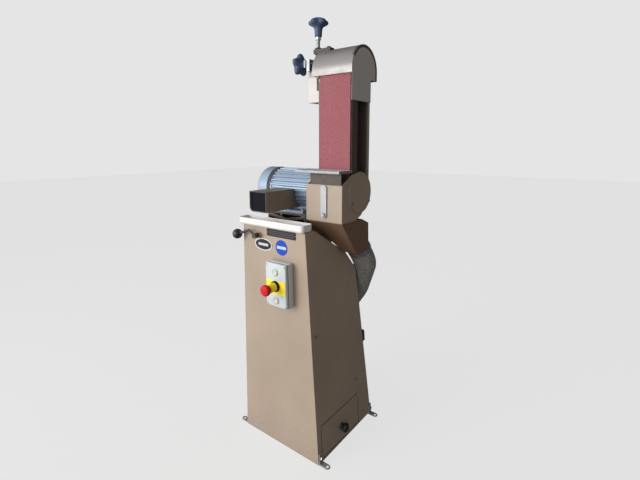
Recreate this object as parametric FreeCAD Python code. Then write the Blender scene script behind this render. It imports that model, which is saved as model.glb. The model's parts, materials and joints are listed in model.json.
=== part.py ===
import FreeCAD, Part
import math
import os

from FreeCAD import Placement, Rotation, Vector

# Floor-standing belt grinder: a tapered sheet-steel pedestal with a built-in dust extractor,
# a motor lying across its top, a drive drum on the motor shaft and a belt arm that swings back
# about that shaft.  Millimetres; the front is -Y, the belt side is +X, up is +Z, and the origin
# is on the floor at the centre of the four foot bolts.

# ---------------------------------------------------------------- pedestal
SHEET = 2.0
BASE_HALF = 175.0
TOP_HALF = 140.0
BODY_TOP_Z = 806.0
FRONT_LEAN = 25.0
ROOF_BREAK_Y = -150.0
ROOF_LOW = (24.0, 700.0)
REAR_TOP = (90.0, 625.0)

FOOT_Y = 164.0
FOOT_HOLE_X = 203.0
FOOT_HOLE_R = 5.5
FOOT_WIDTH = 20.0
FOOT_THICK = 4.0
FOOT_HEIGHT = 38.0
FOOT_BOLT_Z = 22.0

DRAWER_Y = (-151.0, 84.0)
DRAWER_Z = (10.0, 128.0)
DRAWER_GAP = 3.0
DRAWER_BACK_X = -120.0
DRAWER_BOX_Y = (-137.0, 75.0)
DRAWER_BOX_Z = (14.0, 112.0)
DRAWER_KNOB_Z = 62.0
DRAWER_KNOB_R = 17.0

COVER_X = (-128.0, 122.0)
COVER_Z = (45.0, 590.0)
COVER_LAP = 10.0
SIDE_SCREWS = ((-166.0, 455.0), (71.0, 191.0))
INLET_X = 70.0
INLET_Z = 455.0

TRAY_X = (-153.0, 141.0)
TRAY_Y = (-213.0, -160.0)
TRAY_TOP_Z = 832.0

# ---------------------------------------------------------------- dust extractor inside
PLATE_Z = 590.0
FILTER_X = -62.0
FILTER_Y = -128.0
FILTER_R = 58.0
FILTER_TOP_Z = 712.0
FAN_Y = -60.0
FAN_Z = 652.0
FAN_X = (64.0, 114.0)
FAN_R = 52.0
DUCT_R = 43.0
SPIGOT_R = 40.0
SPIGOT_LENGTH = 62.0
DUCT_START = 44.0
DUCT_RUN_OUT = 134.0
DUCT_RUN_IN = 107.0
DUCT_BENDS = (90.0, 57.0)
HOPPER_TOP_Z = 834.0
HOPPER_LOW_Z = 712.0
SHAKER_X = -64.0
SHAKER_Z = 776.0
LEVER_Y = -219.0

# ---------------------------------------------------------------- motor and drive drum
AXIS_Y = -19.0
AXIS_Z = 925.0
FOOT_PLANE_Z = 845.0
FIN_COUNT = 28
FIN_TIP_R = 74.0
FIN_ROOT_R = 67.0
MOTOR_X = (-112.0, 66.0)
FLANGE_X = 84.0
FLANGE_R = 77.0
SHAFT_R = 10.0
BEARING_BORE_R = 10.03
BEARING_R = 23.5
BEARING_WIDTH = 14.0
DRUM_X = (100.0, 218.0)
DRUM_R = 47.5
TYRE_INNER_R = 39.5
BELT_X = (99.0, 219.0)
BELT_INNER_R = 47.55
BELT_THICK = 1.2

# ---------------------------------------------------------------- grinder head and table
HEAD_RIGHT_X = 228.0
HEAD_FRONT_Y = -124.0
HEAD_TOP_Z = 956.0
RING_R = 40.0
RING_BORE_R = 26.0
RUNNING_GAP = 0.05
COVER_R = 68.0
TABLE_X = (54.0, 230.0)
TABLE_Y = (-145.0, -69.5)
TABLE_TOP_Z = 1002.0
STRIP_X = 158.0
TABLE_LIFT = 30.0

# ---------------------------------------------------------------- belt arm
ARM_X = (88.6, 94.6)
ARM_Y = (-60.0, 43.0)
IDLER_Z = 1334.0
HOOD_Y = 3.0
HOOD_Z = 1323.0
HOOD_R = 77.0
HOOD_LEFT_X = 70.0
GUARD_RIGHT_X = 225.4
SLIDE_X = 56.0
SLIDE_HALF = 8.0
AXLE_R = 8.5
TRACK_Y = -60.0
TRACK_Z = 1352.0
SCREW_R = 6.0
TRACK_SCREW_R = 4.0
STAR_R = 36.0
TRACK_STAR_R = 39.0
STAR_LOBES = 5
STAR_WAIST = 0.24

# ---------------------------------------------------------------- switch
SWITCH_X = (-4.0, 87.0)
SWITCH_Z = (551.0, 702.0)
SWITCH_DEPTH = 38.0
SWITCH_MID_X = 41.5
ESTOP_Z = 625.0
ESTOP_STEM_R = 11.0
BUTTON_R = 9.0
START_Z = 672.0
STOP_Z = 575.0

AXES = {"x": Vector(1, 0, 0), "y": Vector(0, 1, 0), "z": Vector(0, 0, 1)}


# ================================================================ helpers
def box(x, y, z):
    """A block from three (low, high) pairs."""
    return Part.makeBox(x[1] - x[0], y[1] - y[0], z[1] - z[0], Vector(x[0], y[0], z[0]))


def rod(radius, start, end):
    """A cylinder from one point to another."""
    line = Vector(*end) - Vector(*start)
    return Part.makeCylinder(radius, line.Length, Vector(*start), line)


def tube(outer, inner, start, end):
    """A hollow cylinder from one point to another."""
    return rod(outer, start, end).cut(rod(inner, start, end))


def prism(points, axis, low, high):
    """An outline in the plane across an axis, extruded along that axis from low to high."""
    place = {
        "x": lambda a, b: Vector(low, a, b),
        "y": lambda a, b: Vector(a, low, b),
        "z": lambda a, b: Vector(a, b, low),
    }[axis]
    corners = [place(a, b) for a, b in points]
    face = Part.Face(Part.makePolygon(corners + corners[:1]))
    return face.extrude(AXES[axis] * (high - low))


def join(*shapes):
    """One solid from touching or overlapping ones."""
    return shapes[0].fuse(list(shapes[1:])).removeSplitter()


def rounded(x, y, z, radius, axis):
    """A block whose edges along one axis are rounded."""
    block = box(x, y, z)
    along = [e for e in block.Edges if abs(e.tangentAt(0).dot(AXES[axis])) > 0.99]
    return block.makeFillet(radius, along)


def turned(shape, axis, degrees, origin):
    """A copy turned about an axis through the world origin, then moved to origin."""
    copy = shape.copy()
    copy.Placement = Placement(Vector(*origin), Rotation(AXES[axis], degrees)).multiply(shape.Placement)
    return copy


def hexagon(across_flats, x, y):
    """Corners of a hexagon centred on x, y."""
    radius = across_flats / math.sqrt(3)
    angles = [math.radians(60 * i) for i in range(6)]
    return [(x + radius * math.cos(a), y + radius * math.sin(a)) for a in angles]


def star_outline(centre, radius):
    """Outline of a star grip: a wavy circle with one lobe at the top."""
    steps = 8 * STAR_LOBES
    outline = []
    for i in range(steps):
        turn = 2 * math.pi * i / steps
        reach = radius * (1 - STAR_WAIST * (1 - math.cos(STAR_LOBES * turn)) / 2)
        outline.append((centre[0] + reach * math.sin(turn), centre[1] + reach * math.cos(turn)))
    return outline


def inset(points, depth):
    """A convex clockwise outline with every side moved inwards by depth."""
    moved = []
    for i, here in enumerate(points):
        before = points[i - 1]
        after = points[(i + 1) % len(points)]
        normals = []
        for start, end in ((before, here), (here, after)):
            length = math.dist(start, end)
            normals.append(((end[1] - start[1]) / length, (start[0] - end[0]) / length))
        (ax, ay), (bx, by) = normals
        scale = depth / (1 + ax * bx + ay * by)
        moved.append((here[0] + scale * (ax + bx), here[1] + scale * (ay + by)))
    return moved


# ================================================================ pedestal geometry
def side_x(z):
    return BASE_HALF - (BASE_HALF - TOP_HALF) * z / BODY_TOP_Z


def front_y(z):
    return -BASE_HALF - FRONT_LEAN * z / BODY_TOP_Z


def rear_y(z):
    return BASE_HALF - (BASE_HALF - REAR_TOP[0]) * z / REAR_TOP[1]


FRONT_ANGLE = math.degrees(math.atan2(FRONT_LEAN, BODY_TOP_Z))
REAR_ANGLE = math.degrees(math.atan2(BASE_HALF - REAR_TOP[0], REAR_TOP[1]))
SIDE_ANGLE = math.degrees(math.atan2(BASE_HALF - TOP_HALF, BODY_TOP_Z))


def on_front(shape):
    """Moves a shape drawn upright against y = 0 onto the leaning front face; -y is outwards."""
    return turned(shape, "x", FRONT_ANGLE, (0, -BASE_HALF, 0))


def on_rear(shape):
    """Moves a shape drawn upright against y = 0 onto the sloping rear face; +y is outwards."""
    return turned(shape, "x", REAR_ANGLE, (0, BASE_HALF, 0))


def on_right(shape):
    """Moves a shape drawn upright against x = 0 onto the right side; +x is outwards."""
    return turned(shape, "y", -SIDE_ANGLE, (BASE_HALF, 0, 0))


def both_sides(shape):
    """A shape and its mirror image across the middle plane."""
    return [shape, shape.mirror(Vector(0, 0, 0), AXES["x"])]


def body_solid(depth=0.0):
    """The pedestal's outside, or its hollow when depth is the sheet thickness."""
    low = -20.0 if depth else 0.0
    top = BODY_TOP_Z
    profile = [
        (front_y(low), low), (front_y(top), top), (ROOF_BREAK_Y, top),
        ROOF_LOW, REAR_TOP, (rear_y(low), low),
    ]
    across = [(-side_x(low), low), (-side_x(top), top), (side_x(top), top), (side_x(low), low)]
    lengthways = prism(inset(profile, depth), "x", -200, 200)
    return lengthways.common(prism(inset(across, depth), "y", -250, 250))


def foot_bolt_rods(radius, inner, outer):
    """Four rods square to the side walls, where the foot brackets bolt on."""
    rods = []
    for y in (-FOOT_Y, FOOT_Y):
        rods += both_sides(on_right(rod(radius, (inner, y, FOOT_BOLT_Z), (outer, y, FOOT_BOLT_Z))))
    return rods


def pedestal_shell():
    shell = body_solid().cut(body_solid(SHEET))
    service = box(
        (COVER_X[0] + COVER_LAP, COVER_X[1] - COVER_LAP), (-40, 10),
        (COVER_Z[0] + COVER_LAP, COVER_Z[1] - COVER_LAP),
    )
    drawer = box(
        (120, 200), (DRAWER_Y[0] - DRAWER_GAP, DRAWER_Y[1] + DRAWER_GAP),
        (DRAWER_Z[0] - DRAWER_GAP, DRAWER_Z[1] + DRAWER_GAP),
    )
    cable = on_front(rod(8, (SWITCH_MID_X, -5, 640), (SWITCH_MID_X, 10, 640)))
    slots = [box((66, 112), (y, y + 5), (700, 790)) for y in (-108, -98, -88, -78)]
    screws = [on_right(rod(2.6, (-5, y, z), (5, y, z))) for y, z in SIDE_SCREWS]
    shell = shell.cut([on_rear(service), drawer, cable] + slots + screws + foot_bolt_rods(4.2, -8, 8))
    boss = rod(11, (SHAKER_X, -205, SHAKER_Z), (SHAKER_X, -186, SHAKER_Z))
    bore = rod(SCREW_R + RUNNING_GAP, (SHAKER_X, -210, SHAKER_Z), (SHAKER_X, -180, SHAKER_Z))
    return join(shell, boss).cut(bore)


def base_frame():
    hollow = body_solid(SHEET)
    ring = hollow.common(box((-200, 200), (-200, 200), (0, 4))).cut(box((-135, 135), (-135, 135), (-1, 5)))
    rails = []
    pad_top = DRAWER_BOX_Z[0] - 0.3
    for side, y in ((-1, DRAWER_BOX_Y[0]), (1, DRAWER_BOX_Y[1])):
        outer = y + side * 3.5
        inner = y - side * 18
        lip = outer - side * 2
        rails.append(box((-152, 162), sorted((inner, outer)), (3, pad_top)))
        rails.append(box((-152, 162), sorted((lip, outer)), (3, 34)))
        stop_x = (DRAWER_BACK_X - 8, DRAWER_BACK_X - 1)
        rails.append(box(stop_x, sorted((inner, outer)), (3, 34)))
    return join(ring, *rails)


def foot_bracket(y):
    half = FOOT_WIDTH / 2
    leg = box((BASE_HALF - 5, FOOT_HOLE_X), (y - half, y + half), (0, FOOT_THICK))
    toe = rod(half, (FOOT_HOLE_X, y, 0), (FOOT_HOLE_X, y, FOOT_THICK))
    upright = prism(
        [(BASE_HALF - 5, 0), (side_x(0) + FOOT_THICK, 0),
         (side_x(FOOT_HEIGHT) + FOOT_THICK, FOOT_HEIGHT), (side_x(FOOT_HEIGHT) - 2, FOOT_HEIGHT)],
        "y", y - half, y + half,
    )
    hole = rod(FOOT_HOLE_R, (FOOT_HOLE_X, y, -1), (FOOT_HOLE_X, y, FOOT_THICK + 1))
    return join(leg, toe, upright).cut([hole, body_solid()])


def foot_brackets():
    feet = []
    for y in (-FOOT_Y, FOOT_Y):
        feet += both_sides(foot_bracket(y))
    holes = foot_bolt_rods(4.2, -8, 12)
    return Part.makeCompound([foot.cut(holes) for foot in feet])


def motor_foot_places():
    return [(x, AXIS_Y + side * 62.5) for x in (-66.0, 34.0) for side in (-1, 1)]


def hex_bolts():
    """M8 bolts: four hold the foot brackets and four hold the motor's feet."""
    bolts = []
    for y in (-FOOT_Y, FOOT_Y):
        head = prism(hexagon(13, y, FOOT_BOLT_Z), "x", FOOT_THICK, FOOT_THICK + 5.3)
        shank = rod(4, (-6, y, FOOT_BOLT_Z), (FOOT_THICK + 1, y, FOOT_BOLT_Z))
        bolts += both_sides(on_right(join(head, shank)))
    for x, y in motor_foot_places():
        top = FOOT_PLANE_Z + 10
        head = prism(hexagon(13, x, y), "z", top, top + 5.3)
        bolts.append(join(head, rod(4, (x, y, FOOT_PLANE_Z - 16), (x, y, top + 1))))
    return Part.makeCompound(bolts)


def cover_screw_places():
    return [(x, z) for x in (COVER_X[0] + 5, COVER_X[1] - 5) for z in (60, 250, 575)]


def rear_cover():
    plate = box(COVER_X, (0, SHEET), COVER_Z)
    spigot = tube(SPIGOT_R, SPIGOT_R - 1.5, (INLET_X, -2, INLET_Z), (INLET_X, 26, INLET_Z))
    opening = rod(SPIGOT_R - 1.5, (INLET_X, -3, INLET_Z), (INLET_X, 35, INLET_Z))
    holes = [rod(2.6, (x, -1, z), (x, 3, z)) for x, z in cover_screw_places()]
    return on_rear(join(plate, spigot).cut([opening] + holes))


def panel_screw():
    """A pan-head M5 screw along +y, its head outside y = 0."""
    head = rod(4.75, (0, 0, 0), (0, 3, 0)).cut(box((-0.6, 0.6), (1.6, 4), (-4, 4)))
    return join(head, rod(2.4, (0, -SHEET, 0), (0, 0.5, 0)))


def drum_cover_screw_places():
    angles = [math.radians(a) for a in (90, 210, 330)]
    return [(AXIS_Y + 62 * math.cos(a), AXIS_Z + 62 * math.sin(a)) for a in angles]


def panel_screws():
    """Identical pan-head screws: rear cover, round drum cover and right side wall."""
    screws = []
    for x, z in cover_screw_places():
        screws.append(on_rear(turned(panel_screw(), "z", 0, (x, SHEET, z))))
    for y, z in drum_cover_screw_places():
        screws.append(turned(panel_screw(), "z", -90, (HEAD_RIGHT_X + 3, y, z)))
    for y, z in SIDE_SCREWS:
        screws.append(on_right(turned(panel_screw(), "z", -90, (0, y, z))))
    return Part.makeCompound(screws)


def top_tray():
    outer = rounded(TRAY_X, TRAY_Y, (BODY_TOP_Z, TRAY_TOP_Z), 12, "z")
    outer = outer.makeFillet(10, [e for e in outer.Edges if e.CenterOfMass.z < BODY_TOP_Z + 0.1])
    hollow = rounded(
        (TRAY_X[0] + SHEET, TRAY_X[1] - SHEET), (TRAY_Y[0] + SHEET, TRAY_Y[1] - SHEET),
        (BODY_TOP_Z + SHEET, TRAY_TOP_Z + 5), 10, "z",
    )
    hollow = hollow.makeFillet(8, [e for e in hollow.Edges if e.CenterOfMass.z < BODY_TOP_Z + 3])
    return outer.cut(hollow)


def power_inlet():
    housing = rounded((128, 156), (0, 22), (312, 358), 4, "y")
    gland = rod(8, (142, 12, 298), (142, 12, 313))
    nut = prism(hexagon(20, 142, 12), "z", 303, 309)
    throat = rod(4.5, (142, 12, 290), (142, 12, 311))
    return on_rear(join(housing, gland, nut).cut(throat))


# ================================================================ dust extractor
def filter_plate():
    plate = body_solid(SHEET).common(box((-200, 200), (-250, 250), (PLATE_Z, PLATE_Z + 2.5)))
    hole = rod(FILTER_R - 12, (FILTER_X, FILTER_Y, PLATE_Z - 1), (FILTER_X, FILTER_Y, PLATE_Z + 4))
    return plate.cut(hole)


def filter_cartridge():
    low = PLATE_Z + 2.5
    pleats = 24
    outline = []
    for i in range(2 * pleats):
        angle = math.pi * i / pleats
        reach = FILTER_R if i % 2 else FILTER_R - 8
        outline.append((FILTER_X + reach * math.cos(angle), FILTER_Y + reach * math.sin(angle)))
    paper = prism(outline, "z", low, FILTER_TOP_Z - 6)
    paper = paper.cut(rod(FILTER_R - 12, (FILTER_X, FILTER_Y, low), (FILTER_X, FILTER_Y, FILTER_TOP_Z - 6)))
    cap = rod(FILTER_R, (FILTER_X, FILTER_Y, FILTER_TOP_Z - 6), (FILTER_X, FILTER_Y, FILTER_TOP_Z))
    lugs = [
        box((SHAKER_X + dx, SHAKER_X + dx + 4), (FILTER_Y - 12, FILTER_Y + 4), (FILTER_TOP_Z, FILTER_TOP_Z + 16))
        for dx in (-20, 28)
    ]
    return join(paper, cap, *lugs)


def extractor_housing():
    """Scroll casing with an upward outlet that meets the sloping roof."""
    def scroll(radius, x, outlet_y):
        casing = rod(radius, (x[0], FAN_Y, FAN_Z), (x[1], FAN_Y, FAN_Z))
        outlet = box(x, outlet_y, (FAN_Z, 800)).common(body_solid(SHEET))
        return join(casing, outlet)
    outer = scroll(FAN_R, FAN_X, (-112, -70))
    inner = scroll(FAN_R - 2, (FAN_X[0] + 2, FAN_X[1] - 2), (-110, -72))
    inlet = rod(26, (FAN_X[1] - 3, FAN_Y, FAN_Z), (FAN_X[1] + 1, FAN_Y, FAN_Z))
    shaft_hole = rod(12, (FAN_X[0] - 1, FAN_Y, FAN_Z), (FAN_X[0] + 3, FAN_Y, FAN_Z))
    return outer.cut([inner, inlet, shaft_hole])


def extractor_motor():
    can = rod(38, (4, FAN_Y, FAN_Z), (FAN_X[0], FAN_Y, FAN_Z))
    foot = box((14, 54), (FAN_Y - 30, FAN_Y + 30), (PLATE_Z + 2.5, FAN_Z))
    bore = rod(SCREW_R + RUNNING_GAP, (20, FAN_Y, FAN_Z), (FAN_X[0] + 1, FAN_Y, FAN_Z))
    return join(can, foot).cut(bore)


def extractor_impeller():
    x = (FAN_X[0] + 8, FAN_X[1] - 8)
    disc = rod(42, (x[0], FAN_Y, FAN_Z), (x[0] + 3, FAN_Y, FAN_Z))
    hub = rod(11, (x[0], FAN_Y, FAN_Z), (x[0] + 22, FAN_Y, FAN_Z))
    shaft = rod(SCREW_R, (22, FAN_Y, FAN_Z), (x[0] + 10, FAN_Y, FAN_Z))
    blades = []
    for i in range(9):
        blade = box((x[0] + 2, x[1]), (FAN_Y - 1, FAN_Y + 1), (FAN_Z + 20, FAN_Z + 41))
        blade.rotate(Vector(0, FAN_Y, FAN_Z), AXES["x"], 40 * i)
        blades.append(blade)
    return join(disc, hub, shaft, *blades)


def hopper_rings(depth):
    """Corners of the funnel's upper and lower rims, depth in from its outside."""
    levels = [
        (HOPPER_TOP_Z, 90, HEAD_RIGHT_X, HEAD_FRONT_Y, 40),
        (HOPPER_LOW_Z, 160, 214, -14, 70),
    ]
    rings = []
    for z, x0, x1, y0, y1 in levels:
        x0, x1, y0, y1 = x0 + depth, x1 - depth, y0 + depth, y1 - depth
        rings.append([Vector(x0, y0, z), Vector(x1, y0, z), Vector(x1, y1, z), Vector(x0, y1, z)])
    return rings


def over_lid(drop):
    """Everything above the funnel's sloping rear lid, whose face is lowered by drop."""
    return prism([(-2, HOPPER_TOP_Z - drop), (60, 808 - drop), (60, 900), (-2, 900)], "x", 80, 240)


def hopper_solid(depth):
    """The funnel's outside, or its hollow when depth is the sheet thickness."""
    wires = [Part.makePolygon(ring + ring[:1]) for ring in hopper_rings(depth)]
    return Part.makeLoft(wires, True, True).cut(over_lid(depth))


def duct_ends():
    """Start of the duct at the hopper and its end at the rear cover, with their directions."""
    start = Vector(168, 49, 748)
    out = Vector(0, 0.6, -0.8)
    angle = math.radians(REAR_ANGLE)
    normal = Vector(0, math.cos(angle), math.sin(angle))
    up_slope = Vector(0, -math.sin(angle), math.cos(angle))
    end = Vector(INLET_X, BASE_HALF, 0) + up_slope * INLET_Z
    return start, out, end, normal


def hopper():
    """Funnel under the drum, welded from four walls mitred at the corners, a lid and a floor."""
    start, out, _, _ = duct_ends()
    throat = Part.makeCylinder(SPIGOT_R - 1.5, 120, start - out * 40, out)
    inside = Part.makeLoft([Part.makePolygon(ring + ring[:1]) for ring in hopper_rings(SHEET)], True, True)
    sheets = []
    for i in range(4):
        k = (i + 1) % 4
        ends = []
        for outer, inner in zip(hopper_rings(0), hopper_rings(SHEET)):
            ends.append(Part.makePolygon([outer[i], outer[k], inner[k], inner[i], outer[i]]))
        sheets.append(Part.makeLoft(ends, True, True))
    sheets.append(inside.common(over_lid(SHEET)))
    sheets.append(inside.common(box((80, 240), (-200, 200), (HOPPER_LOW_Z, HOPPER_LOW_Z + SHEET))))
    return Part.makeCompound([sheet.cut([over_lid(0), throat]) for sheet in sheets])


def hopper_spigot():
    """Outlet pipe, capped at its upper end, welded over the hole in the funnel for the duct."""
    start, out, _, _ = duct_ends()
    pipe = Part.makeCylinder(SPIGOT_R, SPIGOT_LENGTH + 30, start - out * 30, out)
    bore = Part.makeCylinder(SPIGOT_R - 1.5, 120, start - out * 28, out)
    return pipe.cut([hopper_solid(0), bore])


def rounded_path(points, radii):
    """Straight runs joined by tangent arcs, as one wire."""
    edges = []
    last = points[0]
    for i, radius in enumerate(radii):
        corner = points[i + 1]
        arriving = (corner - points[i]).normalize()
        leaving = (points[i + 2] - corner).normalize()
        half_turn = arriving.getAngle(leaving) / 2
        reach = radius * math.tan(half_turn)
        first = corner - arriving * reach
        second = corner + leaving * reach
        inward = (leaving - arriving).normalize()
        middle = corner + inward * (radius / math.cos(half_turn) - radius)
        edges.append(Part.LineSegment(last, first).toShape())
        edges.append(Part.Arc(first, middle, second).toShape())
        last = second
    edges.append(Part.LineSegment(last, points[-1]).toShape())
    return Part.Wire(edges)


def swept(path, radius):
    """A round bar along a wire."""
    first = path.Edges[0]
    start = first.valueAt(first.FirstParameter)
    section = Part.Wire(Part.makeCircle(radius, start, first.tangentAt(first.FirstParameter)))
    return path.makePipeShell([section], True, True)


def duct_path():
    start, out, end, normal = duct_ends()
    first = start + out * DUCT_START
    last = end + normal * 6
    return rounded_path([first, start + out * DUCT_RUN_OUT, end + normal * DUCT_RUN_IN, last], DUCT_BENDS)


def flexible_duct():
    path = duct_path()
    duct = swept(path, DUCT_R).cut(swept(path, SPIGOT_R))
    section = math.pi * (DUCT_R ** 2 - SPIGOT_R ** 2)
    print("duct length %.1f mm, volume / (section x length) %.4f" % (
        path.Length, duct.Volume / (section * path.Length)))
    return duct


def hose_clamps():
    start, out, end, normal = duct_ends()
    rings = []
    for centre, direction in ((start + out * (DUCT_START + 9), out), (end + normal * 20, normal)):
        ring = Part.makeCylinder(DUCT_R + 1.5, 10, centre - direction * 5, direction)
        ring = ring.cut(Part.makeCylinder(DUCT_R, 10, centre - direction * 5, direction))
        worm = box((-10, 10), (-5, 5), (0, 8))
        worm.Placement = Placement(centre + Vector(DUCT_R + 1, 0, 0), Rotation(AXES["z"], direction))
        worm = worm.cut(Part.makeCylinder(DUCT_R, 60, centre - direction * 30, direction))
        rings.append(join(ring, worm))
    return Part.makeCompound(rings)


# ================================================================ labels and switch
def label_plates():
    """A blank name plate, a blank oval badge and a plain disc, all on the front face."""
    plate = rounded((-26, 102), (-1.2, 0), (779, 804), 3, "y")
    oval = Part.Ellipse(Vector(-45, 0, 745), 41, 22)
    oval.Axis = AXES["y"]
    badge = Part.Face(Part.Wire(oval.toShape())).extrude(Vector(0, -1.6, 0))
    disc = rod(26, (38, -1.0, 745), (38, 0, 745))
    return Part.makeCompound([on_front(s) for s in (plate, badge, disc)])


def switch_enclosure():
    outer = rounded(SWITCH_X, (-SWITCH_DEPTH, 0), SWITCH_Z, 5, "y")
    wall = 2.5
    hollow = box(
        (SWITCH_X[0] + wall, SWITCH_X[1] - wall), (-SWITCH_DEPTH + wall, 1),
        (SWITCH_Z[0] + wall, SWITCH_Z[1] - wall),
    )
    holes = []
    for radius, z in ((ESTOP_STEM_R + 0.3, ESTOP_Z), (BUTTON_R + 0.2, START_Z), (BUTTON_R + 0.2, STOP_Z)):
        holes.append(rod(radius, (SWITCH_MID_X, -SWITCH_DEPTH - 1, z), (SWITCH_MID_X, -30, z)))
    return on_front(outer.cut([hollow] + holes))


def yellow_plate():
    face = -SWITCH_DEPTH
    plate = rounded((SWITCH_X[0] + 3, SWITCH_X[1] - 3), (face - 1.2, face), (ESTOP_Z - 27, ESTOP_Z + 18), 3, "y")
    shroud = rod(14.5, (SWITCH_MID_X, face - 34, ESTOP_Z), (SWITCH_MID_X, face, ESTOP_Z))
    bore = rod(ESTOP_STEM_R + 0.3, (SWITCH_MID_X, face - 35, ESTOP_Z), (SWITCH_MID_X, face + 1, ESTOP_Z))
    return on_front(join(plate, shroud).cut(bore))


def estop_button():
    face = -SWITCH_DEPTH
    stem = rod(ESTOP_STEM_R, (SWITCH_MID_X, face - 44, ESTOP_Z), (SWITCH_MID_X, face + 14, ESTOP_Z))
    rim = rod(18.5, (SWITCH_MID_X, face - 54, ESTOP_Z), (SWITCH_MID_X, face - 42, ESTOP_Z))
    rim = rim.makeFillet(4, [e for e in rim.Edges if e.Closed])
    dome = Part.makeSphere(32, Vector(SWITCH_MID_X, face - 28, ESTOP_Z))
    dome = dome.common(rod(15.4, (SWITCH_MID_X, face - 62, ESTOP_Z), (SWITCH_MID_X, face - 50, ESTOP_Z)))
    return on_front(join(stem, rim, dome))


def push_button(z):
    face = -SWITCH_DEPTH
    return on_front(rod(BUTTON_R, (SWITCH_MID_X, face - 3, z), (SWITCH_MID_X, face + 14, z)))


# ================================================================ shaker lever and drawer
def shaker_lever():
    shaft = rod(SCREW_R, (SHAKER_X, LEVER_Y - 5, SHAKER_Z), (SHAKER_X, -126, SHAKER_Z))
    hub = rod(9, (SHAKER_X, LEVER_Y - 7, SHAKER_Z), (SHAKER_X, -206, SHAKER_Z))
    knee = (SHAKER_X - 30, LEVER_Y, SHAKER_Z + 15)
    tip = (SHAKER_X - 80, LEVER_Y, SHAKER_Z - 2)
    inner = rod(4.5, (SHAKER_X, LEVER_Y, SHAKER_Z), knee)
    outer = rod(4.5, knee, tip)
    elbow = Part.makeSphere(4.5, Vector(*knee))
    striker = box((SHAKER_X - 4, SHAKER_X + 4), (-138, -128), (SHAKER_Z - 52, SHAKER_Z))
    return join(shaft, hub, inner, elbow, outer, striker)


def lever_ball():
    centre = (SHAKER_X - 89, LEVER_Y, SHAKER_Z - 5)
    knee = (SHAKER_X - 30, LEVER_Y, SHAKER_Z + 15)
    tip = (SHAKER_X - 80, LEVER_Y, SHAKER_Z - 2)
    return Part.makeSphere(17.5, Vector(*centre)).cut(rod(4.5, knee, tip))


def dust_drawer():
    wall = body_solid().cut(body_solid(SHEET))
    front = wall.common(box((120, 200), DRAWER_Y, DRAWER_Z))
    inside = body_solid(SHEET)
    outer = box((DRAWER_BACK_X, 190), DRAWER_BOX_Y, DRAWER_BOX_Z).common(inside)
    hollow = box(
        (DRAWER_BACK_X + 1.5, 190), (DRAWER_BOX_Y[0] + 1.5, DRAWER_BOX_Y[1] - 1.5),
        (DRAWER_BOX_Z[0] + 1.5, DRAWER_BOX_Z[1] + 1),
    ).common(inside)
    return join(front, outer.cut(hollow))


def drawer_knob():
    """Ball knob turned in one piece with the neck that screws into the drawer front."""
    y = sum(DRAWER_Y) / 2
    centre = 190
    outline = [(160, 0), (160, 8)]
    for step in range(9):
        angle = math.radians(152 - 13 * step)
        outline.append((centre + DRAWER_KNOB_R * math.cos(angle), DRAWER_KNOB_R * math.sin(angle)))
    outline.append((outline[-1][0], 0))
    corners = [Vector(x, y, DRAWER_KNOB_Z + r) for x, r in outline]
    face = Part.Face(Part.makePolygon(corners + corners[:1]))
    return face.revolve(Vector(0, y, DRAWER_KNOB_Z), AXES["x"], 360).cut(body_solid())


# ================================================================ motor
def motor_plinth():
    """Welded saddle that stands on the sloping roof and carries the motor's feet."""
    x = (-118.0, 58.0)
    y = (AXIS_Y - 80, AXIS_Y + 80)
    under = FOOT_PLANE_Z - 8
    top = box(x, y, (under, FOOT_PLANE_Z))
    webs = [box((x[0], x[0] + 5), y, (600, under)), box((x[1] - 5, x[1]), y, (600, under))]
    rear = box(x, (y[1] - 5, y[1]), (600, under))
    low, high, width = 798, under, 9
    brace = [(x[0] + 3, low), (x[0] + 3, low + width), (x[1] - 3, high), (x[1] - 3, high - width)]
    mirrored = [(sum(x) - a, b) for a, b in brace]
    braces = [prism(points, "y", y[0], y[0] + 5) for points in (brace, mirrored)]
    holes = [rod(4.5, (px, py, under - 1), (px, py, FOOT_PLANE_Z + 1)) for px, py in motor_foot_places()]
    return join(top, rear, *webs, *braces).cut([body_solid()] + holes)


def motor_housing():
    outline = []
    for i in range(FIN_COUNT):
        pitch = 2 * math.pi / FIN_COUNT
        for offset, radius in ((-0.30, FIN_ROOT_R), (-0.14, FIN_TIP_R), (0.14, FIN_TIP_R), (0.30, FIN_ROOT_R)):
            angle = pitch * (i + offset)
            outline.append((AXIS_Y + radius * math.cos(angle), AXIS_Z + radius * math.sin(angle)))
    barrel = prism(outline, "x", *MOTOR_X)
    pads = []
    for side in (-1, 1):
        y = sorted((AXIS_Y + side * 40, AXIS_Y + side * 78))
        pads.append(box((-78, 46), y, (FOOT_PLANE_Z, FOOT_PLANE_Z + 10)))
        pads.append(box((-78, 46), sorted((AXIS_Y + side * 34, AXIS_Y + side * 46)), (FOOT_PLANE_Z, 880)))
    bore = rod(60, (MOTOR_X[0] - 1, AXIS_Y, AXIS_Z), (MOTOR_X[1] + 1, AXIS_Y, AXIS_Z))
    holes = [rod(4.5, (x, y, FOOT_PLANE_Z - 1), (x, y, FOOT_PLANE_Z + 11)) for x, y in motor_foot_places()]
    return join(barrel, *pads).cut([bore] + holes)


def stator_core():
    stack = tube(60, 37, (-70, AXIS_Y, AXIS_Z), (40, AXIS_Y, AXIS_Z))
    windings = tube(54, 41, (-92, AXIS_Y, AXIS_Z), (60, AXIS_Y, AXIS_Z))
    return join(stack, windings)


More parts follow.
